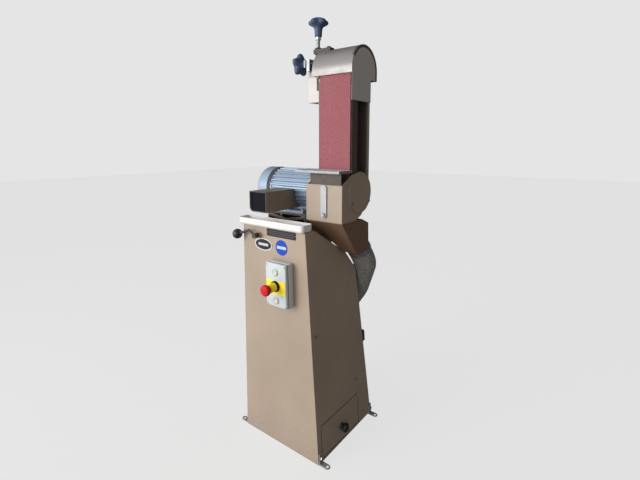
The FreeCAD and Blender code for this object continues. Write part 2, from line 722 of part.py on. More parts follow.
def end_shield(x, bearing_x, rim):
    plate = rod(rim, (x[0], AXIS_Y, AXIS_Z), (x[1], AXIS_Y, AXIS_Z))
    pocket = rod(BEARING_R, (bearing_x, AXIS_Y, AXIS_Z), (bearing_x + BEARING_WIDTH, AXIS_Y, AXIS_Z))
    bore = rod(SHAFT_R + 1, (x[0] - 1, AXIS_Y, AXIS_Z), (x[1] + 1, AXIS_Y, AXIS_Z))
    return plate.cut([pocket, bore])


def drive_end_shield():
    return end_shield((MOTOR_X[1], FLANGE_X), MOTOR_X[1], FLANGE_R)


def rear_end_shield():
    return end_shield((MOTOR_X[0] - 18, MOTOR_X[0]), MOTOR_X[0] - BEARING_WIDTH, 71)


def motor_bearings():
    places = (MOTOR_X[0] - BEARING_WIDTH, MOTOR_X[1])
    return Part.makeCompound([
        tube(BEARING_R, BEARING_BORE_R, (x, AXIS_Y, AXIS_Z), (x + BEARING_WIDTH, AXIS_Y, AXIS_Z)) for x in places
    ])


def fan_cowl():
    x0 = -183
    outer = rod(75, (x0, AXIS_Y, AXIS_Z), (-116, AXIS_Y, AXIS_Z))
    outer = outer.makeFillet(16, [e for e in outer.Edges if e.Closed and abs(e.CenterOfMass.x - x0) < 1])
    inner = rod(73, (x0 + 2, AXIS_Y, AXIS_Z), (-115, AXIS_Y, AXIS_Z))
    inner = inner.makeFillet(14, [e for e in inner.Edges if e.Closed and abs(e.CenterOfMass.x - x0 - 2) < 1])
    shell = outer.cut(inner)
    slots = []
    for radius, count in ((18, 6), (31, 10), (44, 14)):
        for i in range(count):
            slot = rod(4, (x0 - 5, AXIS_Y + radius, AXIS_Z), (x0 + 5, AXIS_Y + radius, AXIS_Z))
            slot.rotate(Vector(0, AXIS_Y, AXIS_Z), AXES["x"], 360 * i / count)
            slots.append(slot)
    lugs = []
    for i in range(4):
        lug = box((-130, -122), (AXIS_Y + 71, AXIS_Y + 74), (AXIS_Z - 5, AXIS_Z + 5))
        lug.rotate(Vector(0, AXIS_Y, AXIS_Z), AXES["x"], 45 + 90 * i)
        lugs.append(lug)
    return join(shell.cut(slots), *lugs)


def rotor_shaft():
    core = rod(36.5, (-70, AXIS_Y, AXIS_Z), (40, AXIS_Y, AXIS_Z))
    shaft = rod(SHAFT_R, (-166, AXIS_Y, AXIS_Z), (FLANGE_X, AXIS_Y, AXIS_Z))
    nose = rod(9.5, (FLANGE_X, AXIS_Y, AXIS_Z), (150, AXIS_Y, AXIS_Z))
    return join(core, shaft, nose)


def cooling_fan():
    hub = tube(15, SHAFT_R, (-165, AXIS_Y, AXIS_Z), (-140, AXIS_Y, AXIS_Z))
    disc = tube(40, SHAFT_R, (-148, AXIS_Y, AXIS_Z), (-145, AXIS_Y, AXIS_Z))
    blades = []
    for i in range(8):
        blade = box((-163, -144), (AXIS_Y - 1, AXIS_Y + 1), (AXIS_Z + 13, AXIS_Z + 62))
        blade.rotate(Vector(0, AXIS_Y, AXIS_Z), AXES["x"], 45 * i)
        blades.append(blade)
    return join(hub, disc, *blades)


def terminal_box():
    x, y, z = (-72, 5), (-233, -66), (862, 930)
    block = box(x, y, z)
    corner = [e for e in block.Edges if e.CenterOfMass.x < x[0] + 1 and e.CenterOfMass.z < z[0] + 1]
    block = block.makeFillet(16, corner)
    wall = 2.5
    hollow = box((x[0] + wall, x[1] - wall), (y[0] - 1, y[1] - 30), (z[0] + wall, z[1] - wall))
    low = [e for e in hollow.Edges if e.CenterOfMass.x < x[0] + 3 and e.CenterOfMass.z < z[0] + 3]
    hollow = hollow.makeFillet(14, low)
    barrel = rod(FIN_TIP_R, (-100, AXIS_Y, AXIS_Z), (30, AXIS_Y, AXIS_Z))
    return block.cut([hollow, barrel])


def terminal_cover():
    x, z = (-69.2, 2.2), (864.8, 927.2)
    plate = box(x, (-227, -223), z)
    low = [e for e in plate.Edges if e.CenterOfMass.x < x[0] + 1 and e.CenterOfMass.z < z[0] + 1]
    return plate.makeFillet(14, low)


# ================================================================ grinder head
def housing_plate():
    """Left cheek of the head, bolted to the motor flange, with the ring that the arm swings on."""
    inner_y = HEAD_FRONT_Y + SHEET
    outline = [
        (inner_y, HOPPER_TOP_Z), (inner_y, HEAD_TOP_Z - 4), (-84, 974), (54, 925), (30, 846),
        (-19, HOPPER_TOP_Z),
    ]
    sheet = prism(outline, "x", FLANGE_X, FLANGE_X + 4)
    disc = rod(FLANGE_R + 1, (FLANGE_X, AXIS_Y, AXIS_Z), (FLANGE_X + 4, AXIS_Y, AXIS_Z))
    ring = rod(RING_R, (FLANGE_X, AXIS_Y, AXIS_Z), (95.2, AXIS_Y, AXIS_Z))
    bore = rod(RING_BORE_R, (FLANGE_X - 1, AXIS_Y, AXIS_Z), (96, AXIS_Y, AXIS_Z))
    return join(sheet, disc, ring).cut(bore)


def clamp_ring():
    """Ring that traps the arm on its spigot; its four screws lock the arm's angle."""
    ring = tube(46, RING_BORE_R, (95.2, AXIS_Y, AXIS_Z), (98.2, AXIS_Y, AXIS_Z))
    holes = []
    for i in range(4):
        angle = math.radians(45 + 90 * i)
        y = AXIS_Y + 33 * math.cos(angle)
        z = AXIS_Z + 33 * math.sin(angle)
        holes.append(rod(2.6, (95, y, z), (99, y, z)))
    return ring.cut(holes)


def front_box():
    """Front wall and right side plate of the drum housing."""
    front = box((FLANGE_X, HEAD_RIGHT_X), (HEAD_FRONT_Y, HEAD_FRONT_Y + SHEET), (HOPPER_TOP_Z, HEAD_TOP_Z))
    slot_x = (STRIP_X - 4.3, STRIP_X + 4.3)
    slot = box(slot_x, (HEAD_FRONT_Y - 1, HEAD_FRONT_Y + 3), (854, 862 + TABLE_LIFT))
    outline = [
        (HEAD_FRONT_Y, HOPPER_TOP_Z), (HEAD_FRONT_Y, HEAD_TOP_Z), (-67, 988),
        (-19, 994), (48, 925), (-5, 850), (-40, HOPPER_TOP_Z),
    ]
    side = prism(outline, "x", HEAD_RIGHT_X - SHEET, HEAD_RIGHT_X)
    disc = rod(70, (HEAD_RIGHT_X - SHEET, AXIS_Y, AXIS_Z), (HEAD_RIGHT_X, AXIS_Y, AXIS_Z))
    access = rod(52, (HEAD_RIGHT_X - 3, AXIS_Y, AXIS_Z), (HEAD_RIGHT_X + 1, AXIS_Y, AXIS_Z))
    holes = [rod(2.4, (220, y, z), (240, y, z)) for y, z in drum_cover_screw_places()]
    return join(front, side, disc).cut([slot, access] + holes)


def drum_cover():
    x = HEAD_RIGHT_X
    disc = rod(COVER_R, (x, AXIS_Y, AXIS_Z), (x + 3, AXIS_Y, AXIS_Z))
    spigot = rod(51.8, (x - 4, AXIS_Y, AXIS_Z), (x, AXIS_Y, AXIS_Z))
    holes = [rod(2.4, (220, y, z), (240, y, z)) for y, z in drum_cover_screw_places()]
    return join(disc, spigot).cut(holes)


def drive_drum():
    x0, x1 = DRUM_X
    rim = tube(TYRE_INNER_R, 33, (x0, AXIS_Y, AXIS_Z), (x1, AXIS_Y, AXIS_Z))
    web = rod(34, (138, AXIS_Y, AXIS_Z), (148, AXIS_Y, AXIS_Z))
    hub = rod(18, (x0, AXIS_Y, AXIS_Z), (150, AXIS_Y, AXIS_Z))
    bore = rod(9.5, (x0 - 1, AXIS_Y, AXIS_Z), (151, AXIS_Y, AXIS_Z))
    return join(rim, web, hub).cut(bore)


def drum_tyre():
    return tube(DRUM_R, TYRE_INNER_R, (DRUM_X[0], AXIS_Y, AXIS_Z), (DRUM_X[1], AXIS_Y, AXIS_Z))


def work_table():
    top = box(TABLE_X, TABLE_Y, (TABLE_TOP_Z - 9, TABLE_TOP_Z))
    edges = [e for e in top.Edges if e.CenterOfMass.z > TABLE_TOP_Z - 0.1]
    return top.makeChamfer(1, edges)


def table_bracket():
    back = HEAD_FRONT_Y + SHEET + 0.6
    x = (STRIP_X - 24, STRIP_X + 24)
    under = TABLE_TOP_Z - 9
    upright = box((100, HEAD_RIGHT_X - 6), (back, back + 5), (851, under))
    shelf = box(x, (back, -80), (under - 6, under))
    gussets = []
    for gx in (x[0], x[1] - 4):
        gussets.append(prism([(back, under), (back, under - 36), (-84, under)], "x", gx, gx + 4))
    stud = rod(4, (STRIP_X, HEAD_FRONT_Y - 4.5, 858), (STRIP_X, back + 1, 858))
    return join(upright, shelf, stud, *gussets)


def clamp_strip():
    """Bright strip outside the head that clamps the table bracket through the slot, with its nut."""
    y = (HEAD_FRONT_Y - 4.2, HEAD_FRONT_Y - 0.2)
    strip = rounded((STRIP_X - 11.5, STRIP_X + 11.5), y, (847, 955), 11, "y")
    hole = rod(4, (STRIP_X, y[0] - 1, 858), (STRIP_X, y[1] + 1, 858))
    nut = prism(hexagon(13, STRIP_X, 858), "y", y[0] - 6.5, y[0])
    stud = rod(4, (STRIP_X, HEAD_FRONT_Y - 4.5, 858), (STRIP_X, HEAD_FRONT_Y, 858))
    return join(strip.cut(hole), nut.cut(stud))


# ================================================================ belt arm
def arm_plate():
    foot = rod(61.5, (ARM_X[0], AXIS_Y, AXIS_Z), (ARM_X[1], AXIS_Y, AXIS_Z))
    strip = box(ARM_X, ARM_Y, (AXIS_Z, 1300))
    inner = HOOD_R - SHEET
    head = rod(inner, (ARM_X[0], HOOD_Y, HOOD_Z), (ARM_X[1], HOOD_Y, HOOD_Z))
    head = head.common(box(ARM_X, (-100, 100), (1300, 1420)))
    bore = rod(RING_R + RUNNING_GAP, (ARM_X[0] - 1, AXIS_Y, AXIS_Z), (ARM_X[1] + 1, AXIS_Y, AXIS_Z))
    slot = rounded((ARM_X[0] - 1, ARM_X[1] + 1), (AXIS_Y - 13, AXIS_Y + 13), (1306, 1350), 10, "x")
    return join(foot, strip, head).cut([bore, slot])


def slide_housing():
    """Bright guide block on the arm's left face, with a square bore for the tension slide."""
    block = box((45, ARM_X[0]), (-60, 22), (1224, 1308))
    step = box((80, 90), (-61, -48), (1262, 1310))
    gap = SLIDE_HALF + 0.1
    bore = box((SLIDE_X - gap, SLIDE_X + gap), (AXIS_Y - gap, AXIS_Y + gap), (1200, 1320))
    recess = box((30, 85), (-46, 8), (1299, 1320))
    return block.cut([bore, recess, step])


def rear_guard():
    x = (ARM_X[1], GUARD_RIGHT_X)
    web = box(x, (ARM_Y[1] - SHEET, ARM_Y[1]), (AXIS_Z, 1294))
    outer = ARM_Y[1] - AXIS_Y
    wrap = tube(outer, outer - SHEET, (x[0], AXIS_Y, AXIS_Z), (x[1], AXIS_Y, AXIS_Z))
    sweep = math.radians(55)
    reach = 90
    wedge = prism(
        [(AXIS_Y, AXIS_Z), (AXIS_Y + reach, AXIS_Z), (AXIS_Y + reach, AXIS_Z - reach),
         (AXIS_Y + reach * math.cos(sweep), AXIS_Z - reach * math.sin(sweep))],
        "x", x[0], x[1],
    )
    flange = box((x[1] - SHEET, x[1]), (33, ARM_Y[1]), (1000, 1294))
    return join(web, wrap.common(wedge), flange)


def platen():
    """Channel behind the working strand; its ground front face is the back-up for the belt."""
    face_y = AXIS_Y - BELT_INNER_R + 0.1
    face = box((ARM_X[1], 218), (face_y, -60), (992, 1288))
    sides = (992, 1268)
    left = box((ARM_X[1], 100), (-60, -46), sides)
    right = box((216, 222), (-62, -28), sides)
    return join(face, left, right)


def arch(radius, front_z, rear_z, x):
    """An inverted U about the hood's centre line."""
    crown = rod(radius, (x[0], HOOD_Y, HOOD_Z), (x[1], HOOD_Y, HOOD_Z))
    crown = crown.common(box(x, (-200, 200), (HOOD_Z, HOOD_Z + 200)))
    front = box(x, (HOOD_Y - radius, HOOD_Y), (front_z, HOOD_Z))
    rear = box(x, (HOOD_Y, HOOD_Y + radius), (rear_z, HOOD_Z))
    return join(crown, front, rear)


def hood():
    x = (HOOD_LEFT_X, HEAD_RIGHT_X - SHEET)
    sheet = arch(HOOD_R, 1306, 1294, x).cut(arch(HOOD_R - SHEET, 1300, 1290, (x[0] - 1, x[1] + 1)))
    plate_x = (HEAD_RIGHT_X - SHEET, HEAD_RIGHT_X)
    crown = arch(HOOD_R, 1306, 1294, plate_x)
    apron = box(plate_x, (HOOD_Y - HOOD_R, ARM_Y[1]), (1222, HOOD_Z))
    return join(sheet, crown, apron)


def tension_bridge():
    """Strap on the hood's crown that holds the nut of the tension screw."""
    strap = box((44, 114), (AXIS_Y - 12, AXIS_Y + 12), (1390, 1404))
    boss = rod(12, (SLIDE_X, AXIS_Y, 1388), (SLIDE_X, AXIS_Y, 1409))
    bolt = prism(hexagon(13, 100, AXIS_Y), "z", 1403, 1409)
    bore = rod(SCREW_R + RUNNING_GAP, (SLIDE_X, AXIS_Y, 1380), (SLIDE_X, AXIS_Y, 1420))
    crown = arch(HOOD_R, 1306, 1294, (HOOD_LEFT_X, 200))
    return join(strap, boss, bolt).cut([bore, crown])


def belt_loop(radius):
    lower = rod(radius, (BELT_X[0], AXIS_Y, AXIS_Z), (BELT_X[1], AXIS_Y, AXIS_Z))
    upper = rod(radius, (BELT_X[0], AXIS_Y, IDLER_Z), (BELT_X[1], AXIS_Y, IDLER_Z))
    middle = box(BELT_X, (AXIS_Y - radius, AXIS_Y + radius), (AXIS_Z, IDLER_Z))
    return join(lower, upper, middle)


def abrasive_belt():
    return belt_loop(BELT_INNER_R + BELT_THICK).cut(belt_loop(BELT_INNER_R))


def tension_yoke():
    """Square slide with a fork on top that holds the tracking block and the tension screw."""
    half = SLIDE_HALF
    bar = box((SLIDE_X - half, SLIDE_X + half), (AXIS_Y - half, AXIS_Y + half), (1234, 1314))
    y = (-45, 7)
    floor = box((34, 84), y, (1312, 1318))
    roof = box((34, 84), y, (1350, 1367))
    wall = box((34, 41), y, (1312, 1367))
    lug = box((34, 41), (-72, -40), (1340, 1364))
    sockets = [
        rod(6 + RUNNING_GAP, (SLIDE_X, AXIS_Y, 1310), (SLIDE_X, AXIS_Y, 1319)),
        rod(6 + RUNNING_GAP, (SLIDE_X, AXIS_Y, 1349), (SLIDE_X, AXIS_Y, 1356.5)),
        rod(5 + RUNNING_GAP, (SLIDE_X, AXIS_Y, 1358.5), (SLIDE_X, AXIS_Y, 1368)),
        rod(TRACK_SCREW_R + RUNNING_GAP, (33, TRACK_Y, TRACK_Z), (42, TRACK_Y, TRACK_Z)),
    ]
    return join(bar, floor, roof, wall, lug).cut(sockets)


def tracking_block():
    """Block that pivots in the yoke and carries the idler's fixed axle."""
    block = box((43, 84), (-45, 7), (1318.6, 1349.4))
    tail = box((47, 59), (-73, -44), (1326, 1349.4))
    horn = box((47, 59), (-73, -46.5), (1340, 1365))
    pivot = rod(6, (SLIDE_X, AXIS_Y, 1312), (SLIDE_X, AXIS_Y, 1356))
    axle = rod(AXLE_R, (80, AXIS_Y, IDLER_Z), (206, AXIS_Y, IDLER_Z))
    clearance = rod(TRACK_SCREW_R + 1, (46, TRACK_Y, TRACK_Z), (60, TRACK_Y, TRACK_Z))
    return join(block, tail, horn, pivot, axle).cut(clearance)


def idler_wheel():
    x0, x1 = BELT_X[0] + 0.5, BELT_X[1] - 0.5
    crown = 0.4
    outline = [
        (x0, IDLER_Z + 20), (x0, IDLER_Z + DRUM_R - crown), (sum(BELT_X) / 2, IDLER_Z + DRUM_R),
        (x1, IDLER_Z + DRUM_R - crown), (x1, IDLER_Z + 20),
    ]
    corners = [Vector(x, AXIS_Y, z) for x, z in outline]
    face = Part.Face(Part.makePolygon(corners + corners[:1]))
    rim = face.revolve(Vector(0, AXIS_Y, IDLER_Z), AXES["x"], 360)
    pockets = [
        rod(38, (x0 - 1, AXIS_Y, IDLER_Z), (x0 + 14, AXIS_Y, IDLER_Z)),
        rod(38, (x1 - 14, AXIS_Y, IDLER_Z), (x1 + 1, AXIS_Y, IDLER_Z)),
    ]
    hub = tube(27, 20, (x0 + 6, AXIS_Y, IDLER_Z), (x1 - 6, AXIS_Y, IDLER_Z))
    cap = rod(27, (x1 - 9, AXIS_Y, IDLER_Z), (x1 - 6, AXIS_Y, IDLER_Z))
    return join(rim.cut(pockets), hub, cap)


def idler_bearings():
    places = (BELT_X[0] + 8, BELT_X[1] - 28)
    return Part.makeCompound([
        tube(20, AXLE_R + 0.03, (x, AXIS_Y, IDLER_Z), (x + 12, AXIS_Y, IDLER_Z)) for x in places
    ])


def tension_knob():
    """Star grip on the tension screw."""
    screw = rod(SCREW_R, (SLIDE_X, AXIS_Y, 1367.5), (SLIDE_X, AXIS_Y, 1451))
    tip = rod(5, (SLIDE_X, AXIS_Y, 1359), (SLIDE_X, AXIS_Y, 1368))
    nut = prism(hexagon(17, SLIDE_X, AXIS_Y), "z", 1436, 1446)
    stem = Part.makeCone(11, 14, 36, Vector(SLIDE_X, AXIS_Y, 1446))
    star = prism(star_outline((SLIDE_X, AXIS_Y), STAR_R), "z", 1480, 1499)
    dome = Part.makeSphere(40, Vector(SLIDE_X, AXIS_Y, 1469))
    dome = dome.common(rod(24, (SLIDE_X, AXIS_Y, 1496), (SLIDE_X, AXIS_Y, 1516)))
    return join(screw, tip, nut, stem, star, dome)


def tracking_knob():
    """Star grip on the tracking screw, held endways by the lug of the yoke."""
    screw = rod(TRACK_SCREW_R, (18, TRACK_Y, TRACK_Z), (63, TRACK_Y, TRACK_Z))
    hub = rod(9, (18, TRACK_Y, TRACK_Z), (33.7, TRACK_Y, TRACK_Z))
    collar = rod(7, (41.3, TRACK_Y, TRACK_Z), (44.3, TRACK_Y, TRACK_Z))
    star = prism(star_outline((TRACK_Y, TRACK_Z), TRACK_STAR_R), "x", -1, 21)
    return join(screw, hub, collar, star)


NODES = {
    "pedestal_shell": pedestal_shell,
    "base_frame": base_frame,
    "foot_brackets": foot_brackets,
    "hex_bolts": hex_bolts,
    "rear_cover": rear_cover,
    "panel_screws": panel_screws,
    "top_tray": top_tray,
    "power_inlet": power_inlet,
    "filter_plate": filter_plate,
    "filter_cartridge": filter_cartridge,
    "extractor_housing": extractor_housing,
    "extractor_motor": extractor_motor,
    "extractor_impeller": extractor_impeller,
    "hopper": hopper,
    "hopper_spigot": hopper_spigot,
    "flexible_duct": flexible_duct,
    "hose_clamps": hose_clamps,
    "label_plates": label_plates,
    "switch_enclosure": switch_enclosure,
    "yellow_plate": yellow_plate,
    "estop_button": estop_button,
    "start_button": lambda: push_button(START_Z),
    "stop_button": lambda: push_button(STOP_Z),
    "shaker_lever": shaker_lever,
    "lever_ball": lever_ball,
    "dust_drawer": dust_drawer,
    "drawer_knob": drawer_knob,
    "motor_plinth": motor_plinth,
    "motor_housing": motor_housing,
    "stator_core": stator_core,
    "drive_end_shield": drive_end_shield,
    "rear_end_shield": rear_end_shield,
    "motor_bearings": motor_bearings,
    "fan_cowl": fan_cowl,
    "rotor_shaft": rotor_shaft,
    "cooling_fan": cooling_fan,
    "terminal_box": terminal_box,
    "terminal_cover": terminal_cover,
    "housing_plate": housing_plate,
    "clamp_ring": clamp_ring,
    "front_box": front_box,
    "drum_cover": drum_cover,
    "drive_drum": drive_drum,
    "drum_tyre": drum_tyre,
    "work_table": work_table,
    "table_bracket": table_bracket,
    "clamp_strip": clamp_strip,
    "arm_plate": arm_plate,
    "slide_housing": slide_housing,
    "rear_guard": rear_guard,
    "platen": platen,
    "hood": hood,
    "tension_bridge": tension_bridge,
    "abrasive_belt": abrasive_belt,
    "tension_yoke": tension_yoke,
    "tracking_block": tracking_block,
    "idler_wheel": idler_wheel,
    "idler_bearings": idler_bearings,
    "tension_knob": tension_knob,
    "tracking_knob": tracking_knob,
}

os.makedirs("parts", exist_ok=True)
for name, build in NODES.items():
    shape = build()
    solids = shape.Solids
    if not solids or not shape.isValid():
        raise ValueError(name + " is not a valid solid")
    print("%-20s %2d solid(s) %9.1f cm3" % (name, len(solids), shape.Volume / 1000))
    shape.exportStep("parts/" + name + ".step")
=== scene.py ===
import json
import math

import bmesh
import bpy
from mathutils import Matrix, Vector


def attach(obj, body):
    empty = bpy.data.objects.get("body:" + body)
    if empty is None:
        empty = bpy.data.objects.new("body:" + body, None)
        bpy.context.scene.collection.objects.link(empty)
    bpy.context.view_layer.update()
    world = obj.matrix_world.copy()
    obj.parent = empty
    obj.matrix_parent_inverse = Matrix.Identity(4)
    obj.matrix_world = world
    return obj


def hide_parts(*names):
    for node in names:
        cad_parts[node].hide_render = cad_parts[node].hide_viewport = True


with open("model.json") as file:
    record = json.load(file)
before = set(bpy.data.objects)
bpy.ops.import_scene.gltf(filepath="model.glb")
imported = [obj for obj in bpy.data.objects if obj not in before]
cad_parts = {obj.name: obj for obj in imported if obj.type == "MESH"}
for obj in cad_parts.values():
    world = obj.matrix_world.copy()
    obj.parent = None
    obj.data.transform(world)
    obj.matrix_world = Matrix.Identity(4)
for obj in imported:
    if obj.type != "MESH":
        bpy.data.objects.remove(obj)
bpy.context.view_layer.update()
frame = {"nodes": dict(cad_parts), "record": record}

# ---------------------------------------------------------------- places shared with the CAD
FRONT_FOOT_Y = -0.175
FRONT_ANGLE = math.atan2(25.0, 806.0)
REAR_FOOT_Y = 0.175
REAR_ANGLE = math.atan2(85.0, 625.0)
FRONT = Matrix.Translation((0, FRONT_FOOT_Y, 0)) @ Matrix.Rotation(FRONT_ANGLE, 4, "X")

AXIS_Y = -0.019
AXIS_Z = 0.925
IDLER_Z = 1.334
SLIDE_X = 0.056
TRACK_Y = -0.060
TRACK_Z = 1.352
SWITCH_X = 0.0415
SWITCH_FACE = -0.038
ESTOP_Z = 0.625
START_Z = 0.672
STOP_Z = 0.575
DUCT_START = Vector((0.168, 0.049, 0.748))
DUCT_OUT = Vector((0.0, 0.6, -0.8))
INLET_X = 0.070
INLET_Z = 0.455


# ================================================================ shader helpers
def add(tree, kind, inputs=None, **props):
    """A new node with its properties and inputs set; an input may be a value or a socket."""
    made = tree.nodes.new(kind)
    for key, value in props.items():
        setattr(made, key, value)
    for key, value in (inputs or {}).items():
        if isinstance(value, bpy.types.NodeSocket):
            tree.links.new(value, made.inputs[key])
        else:
            made.inputs[key].default_value = value
    return made


def coordinates(tree, scale=(1.0, 1.0, 1.0)):
    """Real positions in metres, stretched by scale."""
    source = add(tree, "ShaderNodeTexCoord")
    return add(tree, "ShaderNodeMapping", {"Vector": source.outputs["Object"], "Scale": scale}).outputs[0]


def noise(tree, where, scale, detail=3.0, rough=0.55):
    settings = {"Vector": where, "Scale": scale, "Detail": detail, "Roughness": rough}
    return add(tree, "ShaderNodeTexNoise", settings).outputs[0]


def ramp(tree, factor, low, high, start=0.0, end=1.0):
    """Maps factor from low..high to start..end, clamped."""
    made = add(tree, "ShaderNodeMapRange", {
        "Value": factor, "From Min": low, "From Max": high, "To Min": start, "To Max": end})
    return made.outputs[0]


def math_node(tree, operation, a, b=0.0):
    return add(tree, "ShaderNodeMath", {0: a, 1: b}, operation=operation).outputs[0]


def dot_product(tree, a, b):
    return add(tree, "ShaderNodeVectorMath", {0: a, 1: b}, operation="DOT_PRODUCT").outputs["Value"]


def blend_colour(tree, factor, a, b):
    made = add(tree, "ShaderNodeMix", data_type="RGBA")
    for index, value in ((0, factor), (6, a), (7, b)):
        if isinstance(value, bpy.types.NodeSocket):
            tree.links.new(value, made.inputs[index])
        else:
            made.inputs[index].default_value = value
    return made.outputs[2]


def bump(tree, height, strength, distance, normal=None):
    inputs = {"Height": height, "Strength": strength, "Distance": distance}
    if normal:
        inputs["Normal"] = normal
    return add(tree, "ShaderNodeBump", inputs).outputs[0]


def rgba(colour, gain=1.0):
    return tuple(min(1.0, c * gain) for c in colour[:3]) + (1.0,)


def edge_mask(tree, radius):
    """Near 1 on outside and inside edges, 0 on open faces."""
    rounded = add(tree, "ShaderNodeBevel", {"Radius": radius}, samples=4)
    plain = add(tree, "ShaderNodeNewGeometry")
    return ramp(tree, dot_product(tree, rounded.outputs[0], plain.outputs["Normal"]), 0.995, 0.93)


def new_material(name):
    made = bpy.data.materials.new(name)
    made.use_nodes = True
    return made, made.node_tree, made.node_tree.nodes["Principled BSDF"]


def painted(name, colour, rough=0.42, peel=0.10, wear=0.5, under=(0.45, 0.42, 0.38), metallic=0.0,
            dust=0.35, fold=0.0015, faces=None):
    """Sprayed enamel: orange peel, uneven tone, chipped edges and dust low down.

    faces is a direction and a second colour, for the flat faces that look that way. The script uses it for
    painted light: a highlight on the hood's side plate and the table's top, and shade on the plinth's
    front; on the terminal box it makes the front faces near black.
    """
    made, tree, shader = new_material(name)
    where = coordinates(tree)
    broad = noise(tree, where, 4.5, 2.0)
    patch = noise(tree, where, 38.0, 4.0, 0.65)
    colour_now = blend_colour(tree, ramp(tree, broad, 0.3, 0.7), rgba(colour, 0.92), rgba(colour, 1.07))
    stain = ramp(tree, patch, 0.55, 0.75, 0.0, 0.18)
    colour_now = blend_colour(tree, stain, colour_now, rgba(colour, 0.78))
    height = add(tree, "ShaderNodeSeparateXYZ", {0: where}).outputs[2]
    low = ramp(tree, height, 0.16, 0.0, 0.0, dust)
    speck = math_node(tree, "MULTIPLY", low, ramp(tree, noise(tree, where, 160.0, 5.0, 0.7), 0.42, 0.62))
    colour_now = blend_colour(tree, speck, colour_now, rgba(colour, 0.45))
    # A second colour on the faces that look one way: painted highlight on the hood side plate and table
    # top, painted shade on the plinth front.
    if faces:
        direction, second = faces
        looks = add(tree, "ShaderNodeTexCoord").outputs["Normal"]
        along = ramp(tree, dot_product(tree, looks, direction), 0.90, 0.97)
        colour_now = blend_colour(tree, along, colour_now, rgba(second))
    chips = ramp(tree, noise(tree, where, 210.0, 4.0, 0.7), 0.50, 0.60)
    worn = math_node(tree, "MULTIPLY", edge_mask(tree, 0.0018), math_node(tree, "MULTIPLY", chips, wear))
    colour_now = blend_colour(tree, worn, colour_now, rgba(under))
    tree.links.new(colour_now, shader.inputs["Base Color"])
    tree.links.new(ramp(tree, patch, 0.3, 0.7, rough - 0.06, rough + 0.08), shader.inputs["Roughness"])
    shader.inputs["Metallic"].default_value = metallic
    skin = noise(tree, where, 620.0, 2.0, 0.5)
    corner = add(tree, "ShaderNodeBevel", {"Radius": fold}, samples=6).outputs[0]
    soft = bump(tree, broad, 0.12, 0.004, corner)
    tree.links.new(bump(tree, skin, peel, 0.0004, soft), shader.inputs["Normal"])
    return made


def metal(name, colour, rough, grain=(1.0, 1.0, 1.0)):
    """Bare metal: fine grain stretched along one direction, handling marks and a little tarnish."""
    made, tree, shader = new_material(name)
    where = coordinates(tree)
    brushed = noise(tree, coordinates(tree, grain), 900.0, 4.0, 0.6)
    cloud = noise(tree, where, 30.0, 5.0, 0.65)
    spots = noise(tree, where, 240.0, 4.0, 0.7)
    colour_now = blend_colour(tree, ramp(tree, cloud, 0.35, 0.7), rgba(colour, 1.05), rgba(colour, 0.80))
    tarnish = ramp(tree, spots, 0.58, 0.72, 0.0, 0.25)
    colour_now = blend_colour(tree, tarnish, colour_now, rgba(colour, 0.45))
    tree.links.new(colour_now, shader.inputs["Base Color"])
    tree.links.new(ramp(tree, cloud, 0.3, 0.75, rough * 0.8, rough * 1.5), shader.inputs["Roughness"])
    shader.inputs["Metallic"].default_value = 1.0
    tree.links.new(bump(tree, brushed, 0.25, 0.0001), shader.inputs["Normal"])
    return made


def plastic(name, colour, rough, texture=0.12, wear=0.25, shine=0.5):
    """Moulded plastic: fine spark-eroded texture, faint scuffs and dulled edges."""
    made, tree, shader = new_material(name)
    where = coordinates(tree)
    scuff = noise(tree, coordinates(tree, (1.0, 1.0, 0.3)), 120.0, 5.0, 0.7)
    cloud = noise(tree, where, 14.0, 3.0)
    colour_now = blend_colour(tree, ramp(tree, cloud, 0.3, 0.7), rgba(colour, 0.92), rgba(colour, 1.08))
    lighter = tuple(min(1.0, c + 0.10) for c in colour)
    rubbed = math_node(tree, "MULTIPLY", edge_mask(tree, 0.0010), wear)
    colour_now = blend_colour(tree, rubbed, colour_now, rgba(lighter))
    tree.links.new(colour_now, shader.inputs["Base Color"])
    dulled = ramp(tree, scuff, 0.42, 0.70, rough * 0.85, min(0.95, rough * 1.5))
    tree.links.new(dulled, shader.inputs["Roughness"])
    shader.inputs["Specular IOR Level"].default_value = shine
    tree.links.new(bump(tree, noise(tree, where, 1400.0, 2.0), texture, 0.0002), shader.inputs["Normal"])
    return made


